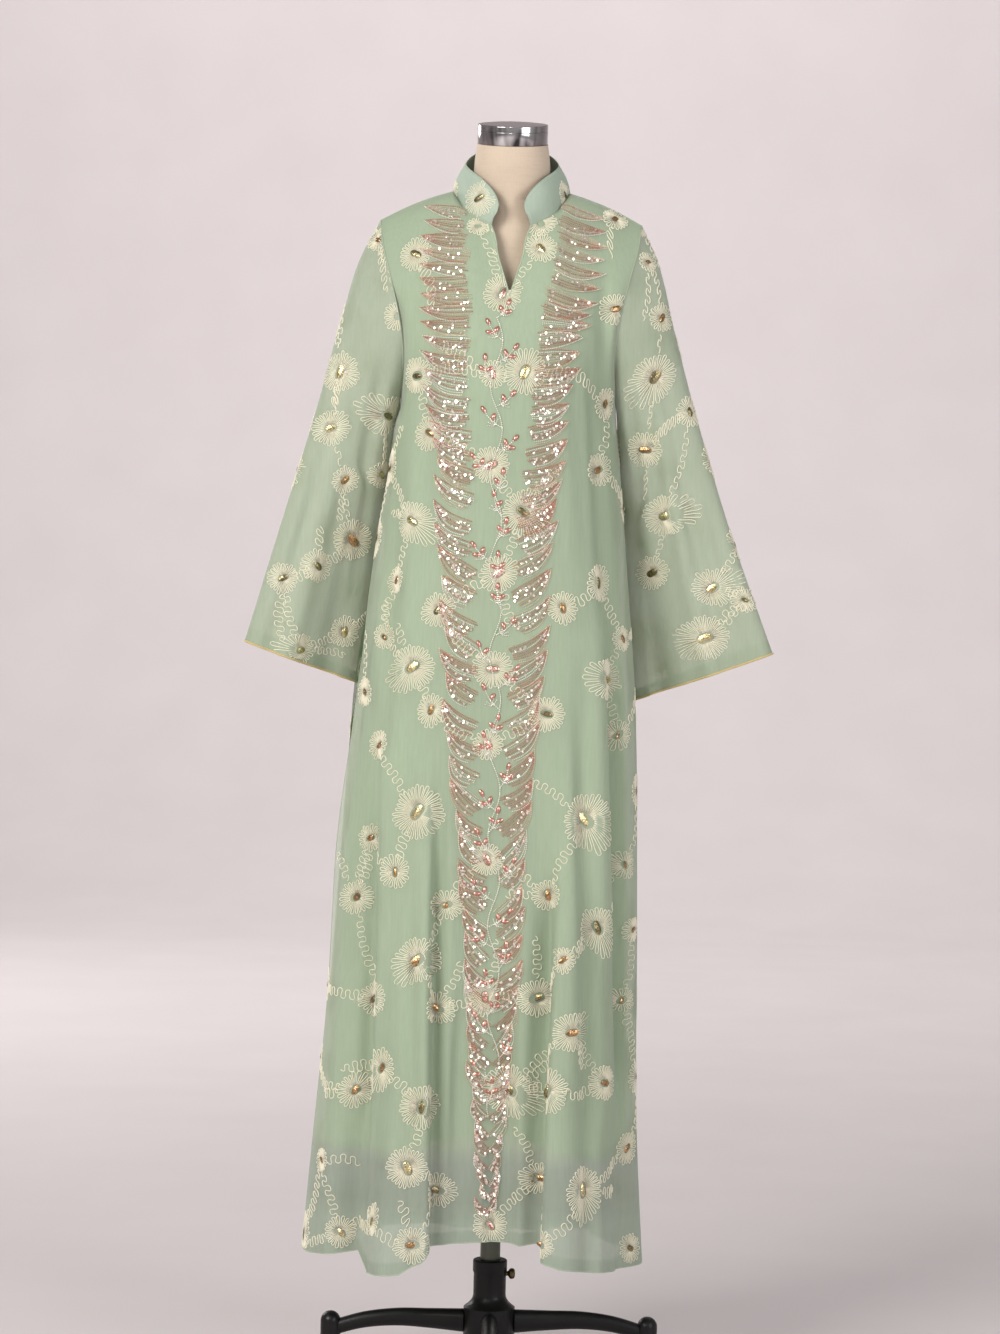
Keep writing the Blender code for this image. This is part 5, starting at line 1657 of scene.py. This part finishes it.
def body_front():
    points, plain, columns, open_rows = front_grid(SKIRT_ROWS)
    points = points + front_creases(points, plain)
    normals = grid_normals(points, False, 1.0)
    obj, parts, cloth = chiffon("chiffon_front", "dress_front", ("hem_front", 2), points, normals, plain,
                                (columns - 1, columns), skip_column=columns - 1, merge=True)
    armpit = BODICE_ROWS * FINE
    for name, radius, runs in (
            ("hem_edge_front", 0.0008, [np.s_[-1]]),
            ("slit_edge", 0.0011, [np.s_[:open_rows + 1, columns - 1], np.s_[:open_rows + 1, columns]]),
            ("body_seams", 0.0006, [np.s_[0, :columns], np.s_[0, columns:], np.s_[armpit:, 0],
                                    np.s_[armpit:, -1]])):
        parts.append(rolled_edge(name, [(points[run], normals[run]) for run in runs], radius, EDGE_CHIFFON))
    return obj, parts, points, cloth


def body_back():
    points, plain, angles = back_grid(SKIRT_ROWS)
    points = points + back_creases(points, plain, angles)
    normals = grid_normals(points, False, 1.0)
    middle = points.shape[1] // 2
    obj, parts, cloth = chiffon("chiffon_back", "dress_back", ("hem_back", 2), points, normals, plain,
                                (middle, middle))
    parts.append(rolled_edge("hem_edge_back", [(points[-1], normals[-1])], 0.0008, EDGE_CHIFFON))
    return obj, parts, points, cloth


def linings():
    """Both linings, which hang inside the plain dress and share its creases, as pieces and points."""
    sizes = (LINING_SKIRT_ROWS, LINING_FOLD_SHARE, LINING_HEM_Z - HEM_Z)
    points, normals, columns, _ = front_grid(*sizes)
    front = points - normals * lining_depth(len(points)) + front_creases(points, normals)
    points, normals, angles = back_grid(*sizes)
    back = points - normals * lining_depth(len(points)) + back_creases(points, normals, angles)
    split = {"skip_column": columns - 1, "merge": True}
    for part, points, how in (("front", front, split), ("back", back, {})):
        yield grid_piece("lining_%s_cloth" % part, points, LINING, slot="lining", node="lining_" + part,
                         **how), points


def sleeve(side_name, seam):
    points, normals, plain = sleeve_grid(side_name, seam)
    half = points.shape[1] // 2
    obj, parts, cloth = chiffon("chiffon_sleeve_" + side_name, "sleeve_" + side_name,
                                ("cuff_hem_" + side_name, 3), points, normals, plain, (half, half),
                                merge=True, flip=-1.0 if side_name == "left" else 1.0)
    top = points[0] + normals[0] * 0.0003
    parts.append(rolled_edge("armhole_seam_" + side_name, [(top, normals[0])], 0.0007, EDGE_CHIFFON))
    braid = points[-1] + (points[-1] - points[-2]) * 0.16
    parts.append(rolled_edge("cuff_braid_" + side_name, [(braid, normals[-1])], 0.0015, BRAID, slot="gold",
                             node="cuff_edge_" + side_name))
    return obj, parts, points, cloth


def collar():
    points, normals = collar_grid()
    obj = grid_piece("chiffon_collar", points, COLLAR_CHIFFON, flip=-1.0, slot="chiffon", node="collar")
    thick = obj.modifiers.new("doubled cloth", "SOLIDIFY")
    thick.thickness = COLLAR_THICK
    thick.offset = -1.0
    rim = [np.concatenate((value[:, 0], value[-1, 1:-1], value[::-1, -1]))
           for value in (points - normals * 0.5 * COLLAR_THICK, normals)]
    edge = rolled_edge("collar_edge", [rim], 0.0009, COLLAR_CHIFFON)
    return obj, [edge], points, Cloth(points, normals, (COLLAR_HALF, COLLAR_HALF))


def declare(obj, points, parts):
    flat_area(points)
    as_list(parts)


def dress_up():
    """All the cloth, with its embroidery and beads."""
    front_obj, front_parts, front_points, front_cloth = body_front()
    back_obj, back_parts, back_points, back_cloth = body_back()
    lined = list(linings())
    front_daisies = listed(front_cloth, FRONT_DAISIES)
    rng = random.Random(5)

    def at_side(place):
        return abs(front_cloth.surface(place[None, :])[1][0, 0]) > 0.82

    front_daisies += strewn(front_cloth, rng, [row[0] for row in front_daisies], at_side, DAISY_APART)
    front_parts += embroider("front", front_cloth, front_daisies, 21)
    front_parts += bead_bands(front_cloth)
    back_daisies = strewn(back_cloth, rng, [], lambda place: True, DAISY_APART)
    back_parts += embroider("back", back_cloth, back_daisies, 22)
    declare(front_obj, front_points, front_parts)
    declare(back_obj, back_points, back_parts)
    for lining, points in lined:
        declare(lining, points, [])
    for side_name, edge, seed in (("right", 0, 31), ("left", -1, 32)):
        obj, parts, points, cloth = sleeve(side_name, front_points[BODICE_ROWS * FINE:, edge])
        daisies = listed(cloth, SLEEVE_DAISIES[side_name])

        def hidden(place):
            point, normal = cloth.surface(place[None, :])
            return float(np.dot(normal[0], np.array(CAMERA_PLACE) - point[0])) < 0.0

        daisies += strewn(cloth, rng, [row[0] for row in daisies], hidden, DAISY_APART * 0.92)
        parts += embroider("sleeve_" + side_name, cloth, daisies, seed)
        declare(obj, points, parts)
    obj, parts, points, cloth = collar()
    parts += embroider("collar", cloth, listed(cloth, COLLAR_DAISIES), 41, wander=False)
    declare(obj, points, parts)


def room():
    """Pale floor that curves up into a wall further off than any view's camera; its colour is painted paler
    with distance, a painted brightening where the lamps' light falls off far away.
    """
    depth, cove = 9.6, 3.2
    turns = np.linspace(0.05, 0.5 * math.pi, 24)
    profile = [(-40.0, 0.0), (depth - cove, 0.0)]
    profile += [(depth - cove + cove * math.sin(turn), cove - cove * math.cos(turn)) for turn in turns]
    profile.append((depth, 5.5))
    points = np.array([(x, y, z) for x in (-40.0, 40.0) for y, z in profile])
    made = new_finish("studio_paint", (0.625, 0.572, 0.576), 0.85)
    aside = made.maths("ABSOLUTE", made.axis("X"))
    far = made.maths("MAXIMUM", aside, made.maths("MULTIPLY", made.axis("Y"), -1.0))
    near = made.tones(made.noise(3.0, 2.0), 0.3, 0.7, (0.615, 0.562, 0.566), (0.635, 0.582, 0.586))
    # Painted light: from 4 m to 9 m out, to the sides and towards the front, the paint turns paler, standing
    # in for light that falls off there.
    made.set(Base_Color=made.mix(made.ranged(far, 4.0, 9.0), near, (0.90, 0.90, 0.90, 1.0)))
    new_object("studio", points, grid_faces(2, len(profile)), made.owner)


# Area lights: name, place, what each looks at, its two sizes, power and colour.
LIGHTS = [
    ("key", (-2.5, -3.2, 2.7), (0.0, 0.0, 1.0), (1.7, 1.9), 152.0, (1.0, 0.985, 0.96)),
    ("fill", (2.6, -2.8, 1.6), (0.0, 0.0, 0.9), (1.8, 2.2), 58.0, (0.97, 0.98, 1.0)),
    ("behind", (-3.6, 4.6, 2.8), (0.0, 0.0, 1.0), (1.8, 1.8), 105.0, (1.0, 0.99, 0.98)),
    ("wall", (0.0, 4.6, 6.2), (0.0, 9.6, 1.6), (7.0, 1.0), 330.0, (1.0, 0.985, 0.98)),
    ("sparkle", (-0.5, -4.2, 2.9), (0.0, 0.0, 1.0), (0.5, 0.5), 12.0, (1.0, 0.97, 0.93)),
]


def area_light(name, place, target, size, watts, colour):
    lamp = bpy.data.lights.new(name, "AREA")
    lamp.shape = "RECTANGLE"
    lamp.size, lamp.size_y = size
    lamp.energy = watts
    lamp.color = colour
    obj = bpy.data.objects.new(name, lamp)
    obj.location = place
    obj.rotation_euler = (Vector(target) - Vector(place)).to_track_quat("-Z", "Y").to_euler()
    bpy.context.scene.collection.objects.link(obj)


def lights():
    for row in LIGHTS:
        area_light(*row)
    world = bpy.data.worlds.new("studio")
    bpy.context.scene.world = world
    made = Finish(world, "Background")
    height = made.node("SeparateXYZ", {0: made.node("TexCoord", {}, "Generated")}, "Z")
    sky = made.tones(made.ranged(height, -1.0, 1.0), 0.42, 0.75, (1.0, 0.935, 0.925), (0.80, 0.78, 0.77))
    made.set(Color=sky, Strength=0.46)


def camera():
    lens = bpy.data.cameras.new("camera")
    lens.lens = LENS_MM
    lens.sensor_width = SENSOR_MM
    lens.sensor_fit = "AUTO"
    obj = bpy.data.objects.new("camera", lens)
    obj.matrix_world = CAMERA_POSE
    bpy.context.scene.collection.objects.link(obj)
    bpy.context.scene.camera = obj


camera()
lights()
room()
form_piece()
cap_piece()
pole_piece()
hub_piece()
screw_piece()
leg_pieces()
dress_up()
bpy.context.scene.view_settings.view_transform = "Standard"
